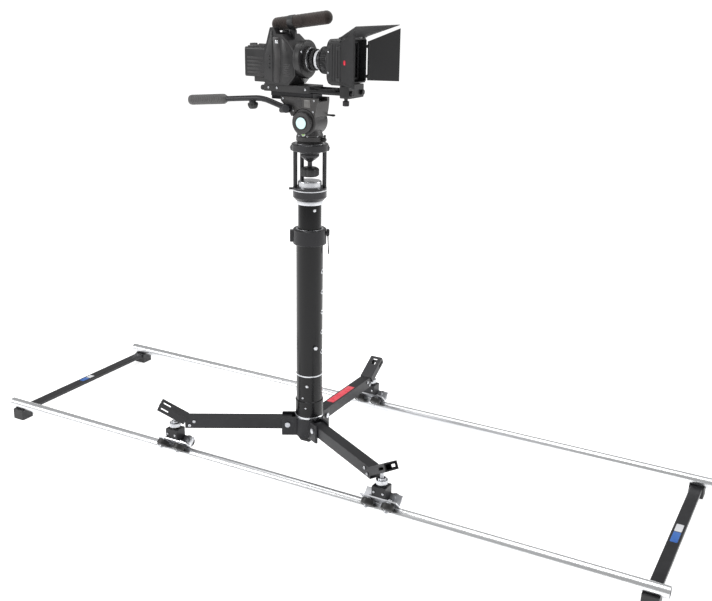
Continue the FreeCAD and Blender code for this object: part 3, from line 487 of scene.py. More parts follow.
def bearing_faces():
    """Both bright shields of a skate bearing with their seal grooves, about the z axis."""
    rim = [(4.3, 8.0), (4.3, 9.08), (5.4, 9.12), (5.7, 8.9), (8.2, 8.9), (8.5, 9.12),
           (9.2, 9.05), (9.2, 8.0)]
    return [spun([(r, z * face) for r, z in rim], 36) for face in (-1, 1)]


for side, angle in LEG_ANGLES.items():
    dress([side + "_pivot_block"], BLACK_ANODISE)
    dress([side + "_wheel_frame"], SATIN_ANGLE)
    x = BOGIE_OUT * math.cos(math.radians(angle))
    y = BOGIE_OUT * math.sin(math.radians(angle))
    screw = piece(side + "_knurled_screw", side + "_levelling_stud", "bright_steel",
                  (BRIGHT_STEEL, *[moved(layer, x, y) for layer in knurled_screw()]))
    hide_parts(side + "_levelling_stud")
    caps = []
    for which, along, facing in (("near_1", -31, -1), ("near_2", 31, -1), ("far_1", -31, 1),
                                 ("far_2", 31, 1)):
        wheel = side + "_wheel_" + which
        dress([wheel], WHEEL_TREAD)
        faces = [moved(turned_about(ring, -135 * facing, "x"), x + along,
                       y + WHEEL_REACH * facing, WHEEL_REACH) for ring in bearing_faces()]
        piece(side + "_bearing_" + which, wheel, "bright_steel", (BRIGHT_STEEL, *faces))
        for layer in socket_screw(5.6, 2.4):
            layer = turned_about(moved(layer, 0, 0, 13.4), -135 * facing, "x")
            caps.append(moved(layer, x + along, y + WHEEL_REACH * facing, WHEEL_REACH))
    piece(side + "_axle_caps", side + "_leg", "bright_steel", (BRIGHT_STEEL, *caps))
    buttons = cap_screws([(x + along, y - 20, 58) for along in (-14, 14)], 3.2, 2.2, "x")
    piece(side + "_block_screws", side + "_leg", "bright_steel", (BRIGHT_STEEL, *buttons))

# ------------------------------------------------------------------ column and mast
# A black anodised tube with bright bushes down one side for the index pin.  The clamp collar
# is drawn up by two cap screws and a lever; the sliding mast has a bright stop ring and plug.

COLUMN_BLACK = finish(
    "column_black", (0.003, 0.003, 0.0035), (0.007, 0.007, 0.008), 0.22, 0.04,
    grain=700, depth=0.00002, push=0.2, tone=16, stretch=(1.6, 1.6, 0.05), edge=0.0009,
    wear=0.5, bare=(0.35, 0.35, 0.37), bare_rough=0.35, Specular_IOR_Level=0.30)
dress(["column_tube"], COLUMN_BLACK)
dress(["clamp_collar"], BLACK_ANODISE)
LOWEST_BUSH, BUSH_STEP = 334, 62.5
bush = spun([(4.1, 37), (4.1, 40.0), (4.5, 40.4), (6.3, 40.4), (6.9, 39.9), (6.9, 37)], 40,
            along="x")
bushes = [turned_about(moved(bush, 0, 0, LOWEST_BUSH + BUSH_STEP * step), 8)
          for step in range(5)]
# The thin bright ring round the tube low down is a painted highlight: it stands in for the
# highlight on the chamfer where the tube meets its base socket.
chamfer_highlight_band = hoop(39.6, 40.2, 258, 262, 0.2, 72)
studs = []
for height, angle, radius in ((229, -69, 4.6), (190, -88, 3.4), (158, -74, 3.4)):
    dome = spun(eased([(0.01, 38), (radius, 38), (radius, 41.6), (radius * 0.6, 43.2),
                       (0.01, 43.4)], 0.6), 32, along="x", centre=(0, 0, height))
    studs.append(turned_about(dome, angle))
piece("column_bushes_and_highlight", "dolly", "bright_steel", (BRIGHT_STEEL, *bushes, chamfer_highlight_band, *studs))

collar_screws = [turned_about(layer, 208) for layer in cap_screws(
    [(51.5, -7.9, 676), (51.5, -7.9, 698)], 3.6, 3.4, "x")]
lip = spun(eased([(35.4, 709.6), (35.4, 710.7), (38.6, 710.7), (40.4, 709.6)], 0.4,
                 closed=True), 72)
piece("collar_fittings", "dolly", "bright_steel", (BRIGHT_STEEL, *collar_screws, lip))


def lever_arm(start, top, length, wide, thick):
    """A lever hanging from a boss: its section narrows to 0.62 at the waist and swells again,
    w(s) = 1 - 0.38 sin(pi s)^0.8, while it leans out by 3 s^2 millimetres."""
    s = np.linspace(0, 1, 22)
    path = np.stack([start + 3.0 * s ** 2, 0 * s, top - length * s], 1)
    widths = 1 - 0.38 * np.sin(math.pi * s) ** 0.8
    widths[-3:] *= (0.94, 0.8, 0.5)
    return carried(oblong(wide, thick, 1.6), path, widths, up=(1, 0, 0))


LEVER_Z, LEVER_ANGLE = 698, 28
boss = spun(eased([(0.01, 48.9), (11, 48.9), (11, 54), (8.4, 57.6), (0.01, 57.6)], 1.4), 60,
            along="x", centre=(0, 0, LEVER_Z), lobes=30, depth=0.04, rows=range(1, 9))
lever = piece("clamp_lever_shown", "clamp_lever", "black_alloy",
              (BLACK_ANODISE, turned_about(boss, LEVER_ANGLE),
               turned_about(lever_arm(53, LEVER_Z, 65, 10, 4.6), LEVER_ANGLE)),
              (BRIGHT_STEEL, *[turned_about(layer, LEVER_ANGLE) for layer in cap_screws(
                  [(55.6, 0, LEVER_Z)], 3.6, 2.2, "y")]))
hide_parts("clamp_lever")

knob = spun(eased([(0.01, 39.8), (5.2, 39.8), (6.0, 41.4), (6.0, 46.6), (5.0, 48.8),
                   (0.01, 48.8)], 0.5), 120, along="x", lobes=30, depth=0.05)
shank = spun(eased([(0.01, -20), (3.0, -20), (3.9, -18), (3.9, 40), (0.01, 40)], 0.3), 32,
             along="x")
pin = piece("index_pin_shown", "index_pin", "bright_steel",
            (BRIGHT_STEEL, *[turned_about(moved(m, 0, 0, 353), -35) for m in (knob, shank)]))
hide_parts("index_pin")

mast = hoop(31, 33.9, 357.4, 782.6, 0.4)
stop = hoop(31, 37.5, 782.5, 793.9, 1.0)
plug = spun(eased([(31, 793), (33.9, 793), (33.9, 847), (32.0, 849.8), (0.01, 849.8),
                   (0.01, 836), (31, 836)], 1.0), 96)
button = turned_about(spun(eased([(0.01, 32), (4.6, 32), (4.6, 34.9), (3.4, 35.6),
                                  (0.01, 35.6)], 0.5), 40, along="x",
                           centre=(0, 0, 768)), -35)
shown = piece("mast_shown", "mast", "bright_steel", (COLUMN_BLACK, mast),
              (BRIGHT_STEEL, stop, plug, button))
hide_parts("mast_tube")

# ------------------------------------------------------------------ bowl cage
# Turned black cup, three posts and the levelling bowl over them, each post held from the
# bowl's side by a cap screw.  The fluted tie-down knob hangs from the head's ball inside.

CAGE_BLACK = finish(
    "cage_black", (0.022, 0.022, 0.024), (0.036, 0.036, 0.039), 0.30, 0.07, metallic=0.45,
    grain=1100, depth=0.00002, push=0.25, tone=18, edge=0.0009, wear=0.6,
    bare=(0.45, 0.45, 0.47), bare_rough=0.3)
KNOB_PLASTIC = finish(
    "knob_plastic", (0.012, 0.012, 0.013), (0.022, 0.022, 0.023), 0.44, 0.08, grain=1200,
    depth=0.00005, push=0.3, tone=30, edge=0.0007, wear=0.3, bare=(0.06, 0.06, 0.06),
    bare_rough=0.55, bare_metal=0.0)
dress(["cage_cup", "cage_posts", "bowl_ring"], CAGE_BLACK)
POST_ANGLES = (28, 154, 208)
lug_screws = []
for angle in POST_ANGLES:
    lug_screws += [turned_about(layer, angle) for layer in cap_screws(
        [(54.4, 0, 942)], 4.0, 2.6, "y")]
# The bright flat ring on top of the bowl is a painted highlight of the ring's top face.
bowl_top_highlight = spun(eased([(38.2, 955.3), (38.2, 956.2), (41.6, 956.2), (41.6, 955.3)], 0.3,
                      closed=True), 96)
cup_band = hoop(48.4, 48.8, 822.5, 825.5, 0.15)
cup_screw = [turned_about(layer, 208) for layer in cap_screws([(57.0, 0, 825.5)], 3.4, 2.6, "y")]
piece("cage_fittings_and_highlight", "mast", "bright_steel",
      (BRIGHT_STEEL, *lug_screws, bowl_top_highlight, cup_band, *cup_screw))

knob = spun(eased([(0.01, 861.5), (20, 861.5), (26.8, 865), (26.8, 882), (21, 887.5),
                   (8, 887.5), (7.4, 889)], 1.6), 220, lobes=11, depth=0.07,
            rows=range(5, 16))
stem = spun(eased([(7.4, 889), (6.6, 893), (6.6, 903), (9, 905), (15, 909), (24, 916.5),
                   (26.8, 920), (26.8, 925.6), (24, 923.6), (18, 920.1), (12, 917.8),
                   (6.2, 916.5), (5.9, 918), (5.9, 938), (0.01, 938)], 0.8), 72)
shown = piece("tie_down_shown", "tie_down_knob", "black_alloy", (KNOB_PLASTIC, knob),
              (CAGE_BLACK, stem))
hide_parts("tie_down_knob")

# ------------------------------------------------------------------ fluid head
# Cast grey-black housings: a half ball and neck in the bowl, the turning drum, the tilting
# deck with its slide, and small levers.  A pale round badge faces the near side; its faint
# glow is painted light, a painted highlight on the enamel.

HEAD_GREY = finish(
    "head_grey", (0.026, 0.025, 0.026), (0.044, 0.042, 0.043), 0.42, 0.08, metallic=0.1,
    grain=1000, depth=0.00008, push=0.35, tone=14, edge=0.0010, wear=0.45,
    bare=(0.30, 0.30, 0.31), bare_rough=0.4)
DECK_GREY = finish(
    "deck_grey", (0.036, 0.034, 0.034), (0.056, 0.053, 0.052), 0.40, 0.08, metallic=0.2,
    grain=900, depth=0.00006, push=0.3, tone=16, edge=0.0010, wear=0.5,
    bare=(0.40, 0.40, 0.41), bare_rough=0.35)
# The badge's emission is a painted glow: painted light standing in for the highlight on its enamel.
BADGE_WITH_PAINTED_GLOW = finish(
    "badge_with_painted_glow", (0.70, 0.93, 0.92), (0.60, 0.88, 0.88), 0.28, 0.05, grain=300, push=0.1,
    tone=60, wear=0.2, bare=(0.9, 0.97, 0.96), bare_rough=0.3, bare_metal=0.0,
    Emission_Color=(0.55, 0.86, 0.86, 1), Emission_Strength=0.18)
GRIP_RUBBER = finish(
    "grip_rubber", (0.060, 0.058, 0.058), (0.082, 0.080, 0.079), 0.60, 0.08, grain=1300,
    depth=0.00008, push=0.45, tone=25, edge=0.0010, wear=0.25, bare=(0.17, 0.165, 0.16),
    bare_rough=0.7, bare_metal=0.0, Sheen_Weight=0.15)
dress(["head_base", "head_body"], HEAD_GREY)
dress(["tilt_platform"], DECK_GREY)
dress(["sliding_plate"], BLACK_ANODISE)

vial, glass = [turned_about(spun(eased(profile, ease), 36, along="x", centre=(0, 0, 985)), -88)
               for profile, ease in (
    ([(0.01, 33), (6.4, 33), (6.4, 38.6), (5.2, 39.4), (4.4, 38.8)], 0.5),
    ([(4.4, 38.8), (3.2, 39.6), (0.01, 39.9)], 0.6))]
LEVEL_GLASS = finish(
    "level_glass", (0.30, 0.55, 0.10), (0.24, 0.46, 0.08), 0.10, 0.03, grain=200, push=0.05,
    tone=50, wear=0.1, bare=(0.7, 0.8, 0.5), bare_rough=0.1, bare_metal=0.0,
    Coat_Weight=0.6)
foot_screws = []
for angle in range(-160, 200, 45):
    foot_screws += [turned_about(layer, angle) for layer in cap_screws(
        [(36.4, 0, 978.9)], 2.3, 1.4, "y")]
piece("head_fittings", "head_body", "bright_steel", (BRIGHT_STEEL, vial, *foot_screws),
      (LEVEL_GLASS, glass))

hub_of_lock = spun(eased([(0.01, 39.4), (5.9, 39.4), (5.9, 45), (4.6, 51.2), (0.01, 51.2)],
                         0.8), 48, along="x", centre=(0, 0, 968.5), lobes=16, depth=0.05)
wing = carried(oblong(7.4, 5.0, 2.0), [(47.6, 0, 966 + 1.6 * i) for i in range(11)],
               [0.7, 0.9, 1, 0.92, 0.84, 0.8, 0.8, 0.86, 0.98, 0.95, 0.6], up=(1, 0, 0))
lock = piece("pan_lock_shown", "pan_lock", "black_alloy",
             (KNOB_PLASTIC, turned_about(hub_of_lock, 2), turned_about(wing, 2)))
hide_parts("pan_lock")

TILT_Z = 1016
dial = spun(eased([(0.01, -36.4), (30.6, -36.4), (30.6, -45.6), (27.6, -48.2), (19.5, -48.2),
                   (17.6, -46.8)], 0.9), 288, along="y", centre=(0, 0, TILT_Z), lobes=36,
            depth=0.035, rows=range(1, 9))
collar = spun(eased([(17.6, -46.6), (17.6, -49.6), (16.4, -50.1), (15.8, -49.4)], 0.4), 72,
              along="y", centre=(0, 0, TILT_Z))
badge = spun(eased([(15.9, -49.2), (10, -49.9), (0.01, -50.2)], 1.2), 72, along="y",
             centre=(0, 0, TILT_Z))
shown = piece("drag_dial_shown", "drag_dial", "black_alloy", (HEAD_GREY, dial),
              (DECK_GREY, collar), (BADGE_WITH_PAINTED_GLOW, badge))
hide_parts("drag_dial")

hub_of_lock = spun(eased([(0.01, 36.4), (7, 36.4), (7, 42), (5.6, 48), (0.01, 48)], 0.8), 48,
                   along="y", centre=(22, 0, 1032))
wing = carried(oblong(7.4, 6.4, 2.0), [(20 + 3.5 * i, 44.8, 1032) for i in range(11)],
               [0.7, 1, 0.94, 0.86, 0.8, 0.78, 0.8, 0.88, 1, 0.98, 0.6], up=(0, 0, 1))
lock = piece("tilt_lock_shown", "tilt_lock", "black_alloy", (KNOB_PLASTIC, hub_of_lock, wing))
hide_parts("tilt_lock")

inset = slab(eased([(-58, 1074), (-44, 1058), (-6, 1058), (-6, 1079), (-58, 1079)], 4, 4,
                   closed=True), -35.6, -34, 0.4, across="y")
window = slab(eased(corners(2, 22, 1058, 1079), 2.4, 4, closed=True), -35.9, -34, 0.4,
              across="y")
deck_screws = cap_screws([(x, -34.8, z) for x, z in (
    (-66, 1078), (34, 1078), (31, 1048), (-33, 1048))], 2.6, 1.8, "x")
PANEL_GREY = finish(
    "panel_grey", (0.13, 0.125, 0.12), (0.17, 0.165, 0.16), 0.38, 0.06, metallic=0.3,
    grain=900, depth=0.00004, push=0.25, tone=22, edge=0.0006, wear=0.4,
    bare=(0.5, 0.5, 0.5), bare_rough=0.3)
piece("deck_panels", "deck", "head", (HEAD_GREY, inset), (PANEL_GREY, window),
      (BRIGHT_STEEL, *deck_screws))

PIVOT = (-46, -47, 1053)
DROOP = 5


def on_handle(shape):
    """Moves a mesh drawn about the handle's pivot to its place, drooping by DROOP degrees."""
    return moved(turned_about(shape, -DROOP, "y"), *PIVOT)


line = eased([(0, 0, 0), (-79, 0, 31), (-205, 0, 31)], 26, 8)
steps = []
for a, b in zip(line[:-1], line[1:]):
    count = max(1, int(np.linalg.norm(b - a) / 6))
    steps.extend([a + (b - a) * i / count for i in range(count)])
steps.append(line[-1])
arm = carried(circle(7.9, 32), steps)
rosette = spun(disc(11.8, -8, 8.8, 1.0), 144, along="y", lobes=36, depth=0.06)
clamp = spun(eased([(0.01, -23), (6.4, -23), (7.4, -20), (7.4, 2), (0.01, 2)], 0.8), 60,
             along="x", centre=(0, 0, -4), lobes=12, depth=0.08)
ribs = [(0.01, 334), (9, 333.6), (13.2, 331), (14.6, 326)]
for start in np.arange(318, 216, -6.5):
    ribs += [(14.6, start), (13.7, start - 1.0), (13.7, start - 2.4), (14.6, start - 3.4)]
ribs += [(14.2, 210), (10.5, 203), (8.2, 200), (7.6, 200)]
grip = spun([(radius, -along) for radius, along in ribs], 64, along="x", centre=(0, 0, 31))
neck = spun(eased([(9.8, 20), (9.8, 26), (5, 26), (5, 17), (9.8, 17)], 0.8, closed=True), 40,
            centre=(-113, 0, 0))
thumb = spun(eased([(0.01, 1.2), (8, 1.2), (12, 4), (15, 11), (15, 17.4), (12, 19.4),
                    (0.01, 19.4)], 1.2), 144, centre=(-113, 0, 0), lobes=9, depth=0.10,
             rows=range(5, 17))
handle = piece("pan_handle_shown", "pan_handle", "handle",
               (BLACK_ANODISE, *[on_handle(m) for m in (arm, rosette, neck)]),
               (KNOB_PLASTIC, *[on_handle(m) for m in (clamp, thumb)]),
               (GRIP_RUBBER, on_handle(grip)))
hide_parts("pan_handle")

# ------------------------------------------------------------------ camera, battery, microphone
# A dark moulded casing with raised side panels and a stepped round front.  The battery clips
# on behind and the microphone lies in brown-black foam above the casing.

CASE_BLACK = finish(
    "case_black", (0.008, 0.008, 0.009), (0.018, 0.017, 0.018), 0.38, 0.10, grain=1100,
    depth=0.00006, push=0.35, tone=12, edge=0.0010, wear=0.35, bare=(0.12, 0.12, 0.12),
    bare_rough=0.5, bare_metal=0.0)
PANEL_DARK = finish(
    "panel_dark", (0.026, 0.025, 0.026), (0.044, 0.042, 0.043), 0.36, 0.08, metallic=0.2,
    grain=1000, depth=0.00005, push=0.3, tone=15, edge=0.0009, wear=0.4,
    bare=(0.30, 0.30, 0.30), bare_rough=0.4)
FOAM = finish(
    "foam", (0.020, 0.015, 0.013), (0.040, 0.030, 0.027), 0.92, 0.05, grain=650,
    depth=0.0006, push=0.8, tone=45, edge=0.0004, wear=0.0, bare=(0.05, 0.05, 0.05),
    bare_rough=0.9, bare_metal=0.0, Sheen_Weight=0.35, Specular_IOR_Level=0.15)
# Red for a small disc on the near flag. The disc is a painted reflection, standing in for the red
# reflection of the lens glass.
PAINTED_RED_REFLECTION = finish(
    "painted_red_reflection", (0.55, 0.01, 0.03), (0.65, 0.02, 0.05), 0.25, 0.04, grain=300, push=0.1,
    tone=60, wear=0.1, bare=(0.8, 0.3, 0.3), bare_rough=0.3, bare_metal=0.0)
dress(["rig_base", "camera_body", "battery"], CASE_BLACK)


def both_sides(outline_points, reach, out, edge=0.8, round_by=4):
    """A raised panel with a rounded outline on each side wall, from reach - 2 to reach + out."""
    line = eased(outline_points, round_by, 5, closed=True)
    return [slab(line, reach - 2, reach + out, edge, across="y"),
            slab(line, -reach - out, -reach + 2, edge, across="y")]


BODY_SIDE = 46
rear_panel = both_sides([(-118, 1130), (-92, 1122), (-92, 1258), (-97, 1260), (-108, 1226),
                         (-119, 1190)], BODY_SIDE, 0.9)
spine = both_sides([(-89, 1121), (-70, 1121), (-66, 1190), (-70, 1243), (-93, 1243),
                    (-86, 1190)], BODY_SIDE, 1.0, 0.9, 6)
front_panel = both_sides([(-64, 1122), (-44, 1122), (-25, 1142), (-25, 1202), (-47, 1230),
                          (-64, 1241), (-60, 1190)], BODY_SIDE, 0.8)
vents = []
for i in range(7):
    vents += both_sides(corners(-57, -36, 1140 + i * 5, 1142.2 + i * 5), BODY_SIDE, 1.4, 0.3,
                        0.9)
buttons = []
for x, z, r in ((-104, 1160, 3.4), (-104, 1171, 3.4), (-104, 1182, 2.6), (-104, 1191, 2.6),
                (-50, 1212, 4.4)):
    profile = eased([(0.01, -46.4), (r, -46.4), (r, -48.0), (r * 0.7, -48.6), (0.01, -48.5)],
                    0.4)
    buttons.append(spun(profile, 28, along="y", centre=(x, 0, z)))
catch = both_sides(corners(-84, -74, 1226, 1234), BODY_SIDE, 1.6, 0.4, 1.5)
piece("camera_panels", "camera", "camera", (PANEL_DARK, *spine, *vents),
      (CASE_BLACK, *rear_panel, *front_panel), (KNOB_PLASTIC, *buttons),
      (BRIGHT_STEEL, *catch))

LENS_Z = 1185.0
ON_LENS = {"along": "x", "centre": (0, 0, LENS_Z)}
front = spun(eased([(52.2, -24), (52.2, -18), (49.5, -16), (49.5, -12), (52.2, -10),
                    (52.2, -6), (46, -3.8), (40, -3.4), (34, -3.4), (31, -4.6)], 0.9), 96,
             **ON_LENS)
teeth = spun(eased([(34.0, -4), (34.0, 3.4), (31.4, 4.6), (30.6, 4.6)], 0.5), 240, lobes=40,
             depth=0.04, **ON_LENS)
release = spun(eased([(0.01, 0), (4.6, 0), (4.6, 5), (3.4, 6), (0.01, 6)], 0.5), 32,
               along="x", centre=(-4.5, 42, 1168))
latch = spun(disc(3.2, 0, 4, 0.5), 28, along="x", centre=(-4.5, -41, 1206))
piece("camera_front", "camera", "camera", (CASE_BLACK, front), (PANEL_DARK, teeth),
      (KNOB_PLASTIC, release), (BRIGHT_STEEL, latch))

BATTERY_SIDE = 33
grooves = []
for i in range(5):
    grooves += both_sides(corners(-186, -130, 1141 + i * 10, 1146.5 + i * 10), BATTERY_SIDE,
                          0.9, 0.4, 2)
cap = slab(oblong(62, 56, 5, -158, 0), 1212.6, 1216.5, 1.0)
rail_top = [slab(oblong(50, 5, 2, -156, y), 1216.0, 1220, 0.6) for y in (-20, 20)]
catch = slab(oblong(12, 24, 2.5, -186, 0), 1216, 1222, 0.8)
lead = carried(circle(2.3, 16), [(-192 - 12 * math.sin(a), -12 + 2 * a, 1196 - 11 * a)
                                 for a in np.linspace(0.0, math.pi * 0.98, 22)])
piece("battery_fittings", "camera", "camera", (PANEL_DARK, *grooves, *rail_top),
      (CASE_BLACK, cap), (KNOB_PLASTIC, catch), (BRIGHT_STEEL, lead))


FOAM_LENGTH = 189.0


def foam_sleeve():
    """A capsule of radius 18 with its skin pushed in and out by up to 0.54 mm:
    0.2 (sin 3x cos 7a + sin(5x + 4a) + 0.7 sin(11a - 2x)), where x runs along it in steps of
    4 mm and a is the angle round it."""
    along, around = 150, 96
    x = np.linspace(0, 1, along)
    radius, nose = 18.0, 15.0
    place = FOAM_LENGTH * (x - np.sin(2 * math.pi * x) * 0.045)
    inside = np.clip(np.minimum(place, FOAM_LENGTH - place) / nose, 0, 1)
    size = radius * np.sqrt(np.clip(1 - (1 - inside) ** 2, 0, 1))
    size[0] = size[-1] = 0.02
    a = np.linspace(0, 2 * math.pi, around, endpoint=False)
    px, pa = np.meshgrid(place / 4.0, a, indexing="ij")
    push = 0.2 * (np.sin(3 * px) * np.cos(7 * pa) + np.sin(5 * px + 4 * pa)
                  + 0.7 * np.sin(11 * pa - 2 * px))
    reach = size[:, None] + push * inside[:, None]
    points = np.stack([np.broadcast_to(place[:, None], reach.shape), reach * np.cos(pa),
                       reach * np.sin(pa)], -1)
    return grid(points, round_columns=True)


def in_line(shape):
    """Moves a mesh drawn along x from the microphone's tail to its place, nose raised by 8
    degrees about the sleeve's middle."""
    lift = FOAM_LENGTH / 2 * math.sin(math.radians(8))
    return moved(turned_about(shape, -8, "y"), -120, 0, 1286 - lift)


sleeve = in_line(foam_sleeve())
clip = spun(eased([(0.01, 1256), (9.5, 1256), (9.5, 1260), (6.8, 1264), (6.8, 1276),
                   (0.01, 1276)], 0.8), 48, centre=(-54, 0, 0))
strap = in_line(hoop(18.0, 19.2, 56, 74, 0.5, 72, along="x"))
shown = piece("microphone_shown", "camera", "foam", (FOAM, sleeve), (KNOB_PLASTIC, clip, strap))
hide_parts("microphone")

plate_screws = cap_screws([(x, -37.9, 1106) for x in (-112, -84, 8)], 3.0, 2.0, "x")
ROD_Z = 1103.5
rods = [spun(eased([(7.55, 14), (7.55, 151.6), (6.6, 152.6), (5.2, 152.6), (5.0, 150)], 0.5),
             48, along="x", centre=(0, y, ROD_Z)) for y in (-30, 30)]
thumb = spun(eased([(0.01, 1069.8), (8, 1069.8), (9, 1072), (9, 1082), (6, 1084.2),
                    (0.01, 1084.2)], 0.8), 120, centre=(132, -32, 0), lobes=10, depth=0.10,
             rows=range(1, 13))
tail = spun(eased([(0.01, -144.6), (6.3, -144.6), (7.4, -142), (7.4, -133), (5, -131)], 0.8),
            96, along="x", centre=(0, -24, ROD_Z), lobes=12, depth=0.08)
piece("rig_fittings", "camera", "rig_base", (COLUMN_BLACK, *rods),
      (KNOB_PLASTIC, thumb, tail), (BRIGHT_STEEL, *plate_screws))

# ------------------------------------------------------------------ lens, matte box, flags
# A lens with a bright mount ring and white-filled witness band stands behind the matt black
# box; the thin flags swing on rods held by small knuckles.

LENS_BLACK = finish(
    "lens_black", (0.014, 0.014, 0.015), (0.024, 0.024, 0.025), 0.30, 0.06, metallic=0.4,
    grain=1200, depth=0.00003, push=0.25, tone=20, edge=0.0008, wear=0.5,
    bare=(0.4, 0.4, 0.42), bare_rough=0.3)
SHADE_BLACK = finish(
    "shade_black", (0.007, 0.007, 0.008), (0.013, 0.013, 0.014), 0.52, 0.10, grain=900,
    depth=0.00008, push=0.4, tone=12, edge=0.0010, wear=0.35, bare=(0.10, 0.10, 0.10),
    bare_rough=0.55, bare_metal=0.0)
FLAG_BLACK = finish(
    "flag_black", (0.006, 0.006, 0.007), (0.010, 0.010, 0.011), 0.55, 0.08, grain=800,
    depth=0.00005, push=0.3, tone=10, edge=0.0004, wear=0.3, bare=(0.14, 0.14, 0.14),
    bare_rough=0.5, bare_metal=0.0)
GLASS_DARK = finish(
    "glass_dark", (0.010, 0.006, 0.020), (0.016, 0.008, 0.034), 0.05, 0.02, grain=100,
    depth=0.000002, push=0.02, tone=30, wear=0.0, bare_metal=0.0, Coat_Weight=1.0,
    Coat_Roughness=0.02)
dress(["lens"], LENS_BLACK)
dress(["matte_box"], SHADE_BLACK)
dress(["near_flag", "far_flag", "top_flag"], FLAG_BLACK)

ring_bright = hoop(31.1, 31.6, 1, 6, 0.2, **ON_LENS)
band_white = hoop(25.1, 25.7, 26, 33, 0.2, **ON_LENS)
iris = hoop(25.1, 29.4, 14, 23, 0.6, 240, lobes=40, depth=0.06, rows=range(4, 12), **ON_LENS)
rim = hoop(37.1, 37.5, 82, 86, 0.15, **ON_LENS)
dome = spun([(30.5 * math.sin(a), 62 + 24 * math.cos(a)) for a in np.linspace(
    1.35, 0.001, 14)], 72, **ON_LENS)
piece("lens_fittings", "camera", "lens", (BRIGHT_STEEL, ring_bright, rim),
      (WHITE_STRIP, band_white), (LENS_BLACK, iris), (GLASS_DARK, dome))

ring_profile = [(25.4, 44), (36, 44), (36.9, 45), (36.9, 49), (34.6, 50), (34.6, 68),
                (36.9, 69), (36.9, 73), (36, 74), (25.4, 74)]
smooth = spun(eased(ring_profile, 0.4, closed=True), 96, **ON_LENS)
gear = spun(eased([(34.2, 51), (36.6, 51.2), (36.6, 66.8), (34.2, 67)], 0.3), 288, lobes=48,
            depth=0.07, **ON_LENS)
shown = piece("focus_ring_shown", "focus_ring", "lens", (LENS_BLACK, smooth, gear))
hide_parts("focus_ring")


def upright_bar(wide, high, corner, y, z, start, stop):
    """A bar of wide by high across the lens axis, from start to stop along it."""
    return slab(oblong(wide, high, corner, y, z), start, stop, 0.5, across="x")


rim_front = [slab(oblong(3, 142, 1.2, z, 0)[:, ::-1], 133.6, 135.2, 0.5, across="x")
             for z in (1242.4, 1127.6)]
rim_front += [upright_bar(3, 110, 1.2, y, LENS_Z, 133.6, 135.2) for y in (-73.4, 73.4)]
filter_frame = []
for inset, start in ((0, 113), (7, 109)):
    wide, high = 128 - inset * 2, 98 - inset * 2
    filter_frame += [upright_bar(6, high, 1.5, side * wide / 2, LENS_Z, start, start + 3)
                     for side in (-1, 1)]
    filter_frame += [upright_bar(wide, 6, 1.5, 0, LENS_Z + side * high / 2, start, start + 3)
                     for side in (-1, 1)]
ribs = []
for x in (110, 118, 126):
    ribs += both_sides(corners(x, x + 3, 1138, 1232), 75, 0.9, 0.4, 1)
tray = both_sides(corners(93, 104, 1150, 1220), 69, 1.4, 0.6, 3)
HINGE_X, HINGE_Y = 139, 79
knuckles = []
for side in (-1, 1):
    for z in (1142, 1222):
        knuckles.append(spun(disc(3.9, z - 5, z + 5, 0.6), 32,
                             centre=(HINGE_X, HINGE_Y * side, 0)))
        knuckles.append(slab(oblong(12, 5, 1.5, 133, 77 * side), z - 4, z + 4, 0.6))
knuckles += [spun(disc(3.9, y - 6, y + 6, 0.6), 32, along="y", centre=(134, 0, 1248))
             for y in (-60, 0, 60)]
box_screws = cap_screws([(98.5, -70.2, z) for z in (1158, 1212)], 2.2, 1.4, "x")
top_screw = [moved(layer, 120, -40, 1243.8) for layer in socket_screw(4.4, 2.2)]
piece("matte_box_fittings", "camera", "shade",
      (SHADE_BLACK, *rim_front, *filter_frame, *ribs, *tray), (KNOB_PLASTIC, *knuckles),
      (BRIGHT_STEEL, *box_screws, *top_screw))

FLAG_HALF = 1.0
for name, side, flare in (("near_flag", -1, -38), ("far_flag", 1, 50)):
    outer = FLAG_HALF * side
    hem = [(6, 1135), (89, 1131), (89, 1264), (6, 1234)]
    strips = []
    for (xa, za), (xb, zb) in zip(hem, hem[1:] + hem[:1]):
        strips.append(carried(oblong(1.6, 1.2, 0.4), [(xa, outer, za), (xb, outer, zb)]))
    layers = [(FLAG_BLACK, strips)]
    # The near flag carries a small red disc: a painted reflection, the red reflection of the lens
    # glass painted on the flag's face.
    if side < 0:
        layers.append((PAINTED_RED_REFLECTION, [spun(eased([(0.01, -2.9), (5.6, -2.9), (6.6, -2.2), (
            6.6, -0.5)], 0.4), 36, along="y", centre=(33, 0, 1188))]))
    piece(name + "_hem", name, "flag", *[
        (finish_of, *[moved(turned_about(m, flare), HINGE_X, HINGE_Y * side) for m in shapes])
        for finish_of, shapes in layers])

# ------------------------------------------------------------------ floor, light and camera
# A pale seamless floor under soft overhead and side lights, and the camera.

HALF_FLOOR = 14.0
floor = bpy.data.meshes.new("floor")
floor.from_pydata([(x * HALF_FLOOR, y * HALF_FLOOR, 0) for x, y in (
    (-1, -1), (1, -1), (1, 1), (-1, 1))], [], [(0, 1, 2, 3)])
floor_piece = bpy.data.objects.new("floor", floor)
bpy.context.scene.collection.objects.link(floor_piece)
floor.materials.append(finish(
    "pale_floor", (0.86, 0.86, 0.86), (0.83, 0.83, 0.83), 0.75, 0.05, grain=60, depth=0.0001,
    push=0.05, tone=1.0, wear=0.0, bare_metal=0.0, Emission_Color=(1, 1, 1, 1),
    Emission_Strength=0.70))

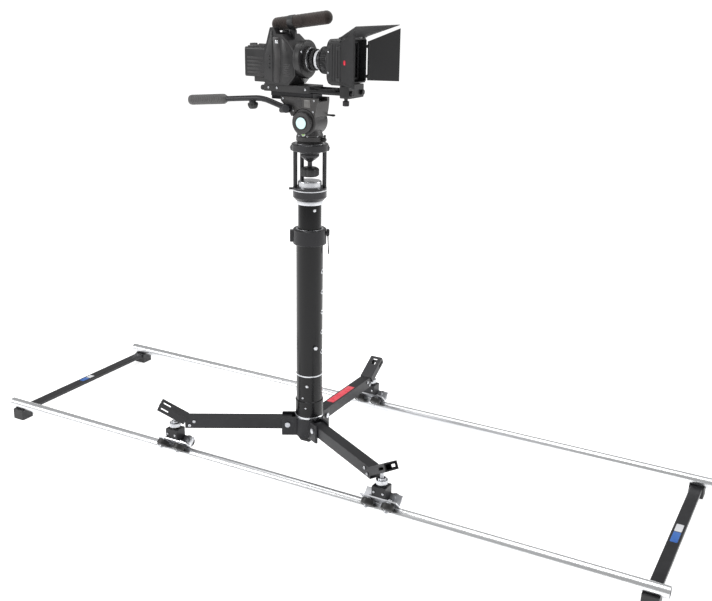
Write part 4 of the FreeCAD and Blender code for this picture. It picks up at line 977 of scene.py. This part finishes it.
sky = bpy.data.worlds.new("studio")
sky.use_nodes = True
behind = sky.node_tree.nodes["Background"]
behind.inputs["Color"].default_value = (1, 1, 1, 1)
seen = add_node(sky.node_tree, "ShaderNodeLightPath")
strength = add_node(sky.node_tree, "ShaderNodeMapRange", {"To Min": 0.45, "To Max": 1.05})
sky.node_tree.links.new(seen.outputs["Is Camera Ray"], strength.inputs["Value"])
sky.node_tree.links.new(strength.outputs["Result"], behind.inputs["Strength"])
bpy.context.scene.world = sky


def soft_light(name, place, aim, size, power):
    """A square area light at place, turned so that it shines at aim."""
    lamp = bpy.data.lights.new(name, "AREA")
    lamp.size = size
    lamp.energy = power
    shown = bpy.data.objects.new(name, lamp)
    bpy.context.scene.collection.objects.link(shown)
    towards = np.array(aim, float) - np.array(place, float)
    turn = math.atan2(towards[1], towards[0])
    drop = math.atan2(math.hypot(towards[0], towards[1]), -towards[2])
    shown.location = place
    shown.rotation_euler = (drop, 0, turn - math.pi / 2)


soft_light("overhead", (-0.3, 0.2, 4.2), (0, -0.1, 0.5), 3.0, 90)
soft_light("left_front", (-2.8, -2.6, 2.4), (0, -0.1, 0.8), 1.6, 60)
soft_light("right_back", (2.6, 2.4, 2.6), (0, -0.1, 0.9), 1.8, 45)

lens = bpy.data.cameras.new("camera")
lens.lens = 48.33
lens.sensor_width = 36
lens.clip_end = 100
viewer = bpy.data.objects.new("camera", lens)
bpy.context.scene.collection.objects.link(viewer)
VIEW_PLACE = (1.359, -2.417, 1.407)
yaw, drop, roll = np.radians([-28.22, 17.84, 1.04])
ahead = np.array([math.sin(yaw) * math.cos(drop), math.cos(yaw) * math.cos(drop),
                  -math.sin(drop)])
right = np.array([math.cos(yaw), -math.sin(yaw), 0.0])
up = np.cross(right, ahead)
side_axis = right * math.cos(roll) + up * math.sin(roll)
up_axis = -right * math.sin(roll) + up * math.cos(roll)
turned_view = np.eye(4)
turned_view[:3] = np.column_stack([side_axis, up_axis, -ahead, VIEW_PLACE])
viewer.matrix_world = Matrix(turned_view.tolist())
bpy.context.scene.camera = viewer
bpy.context.scene.view_settings.view_transform = "Standard"
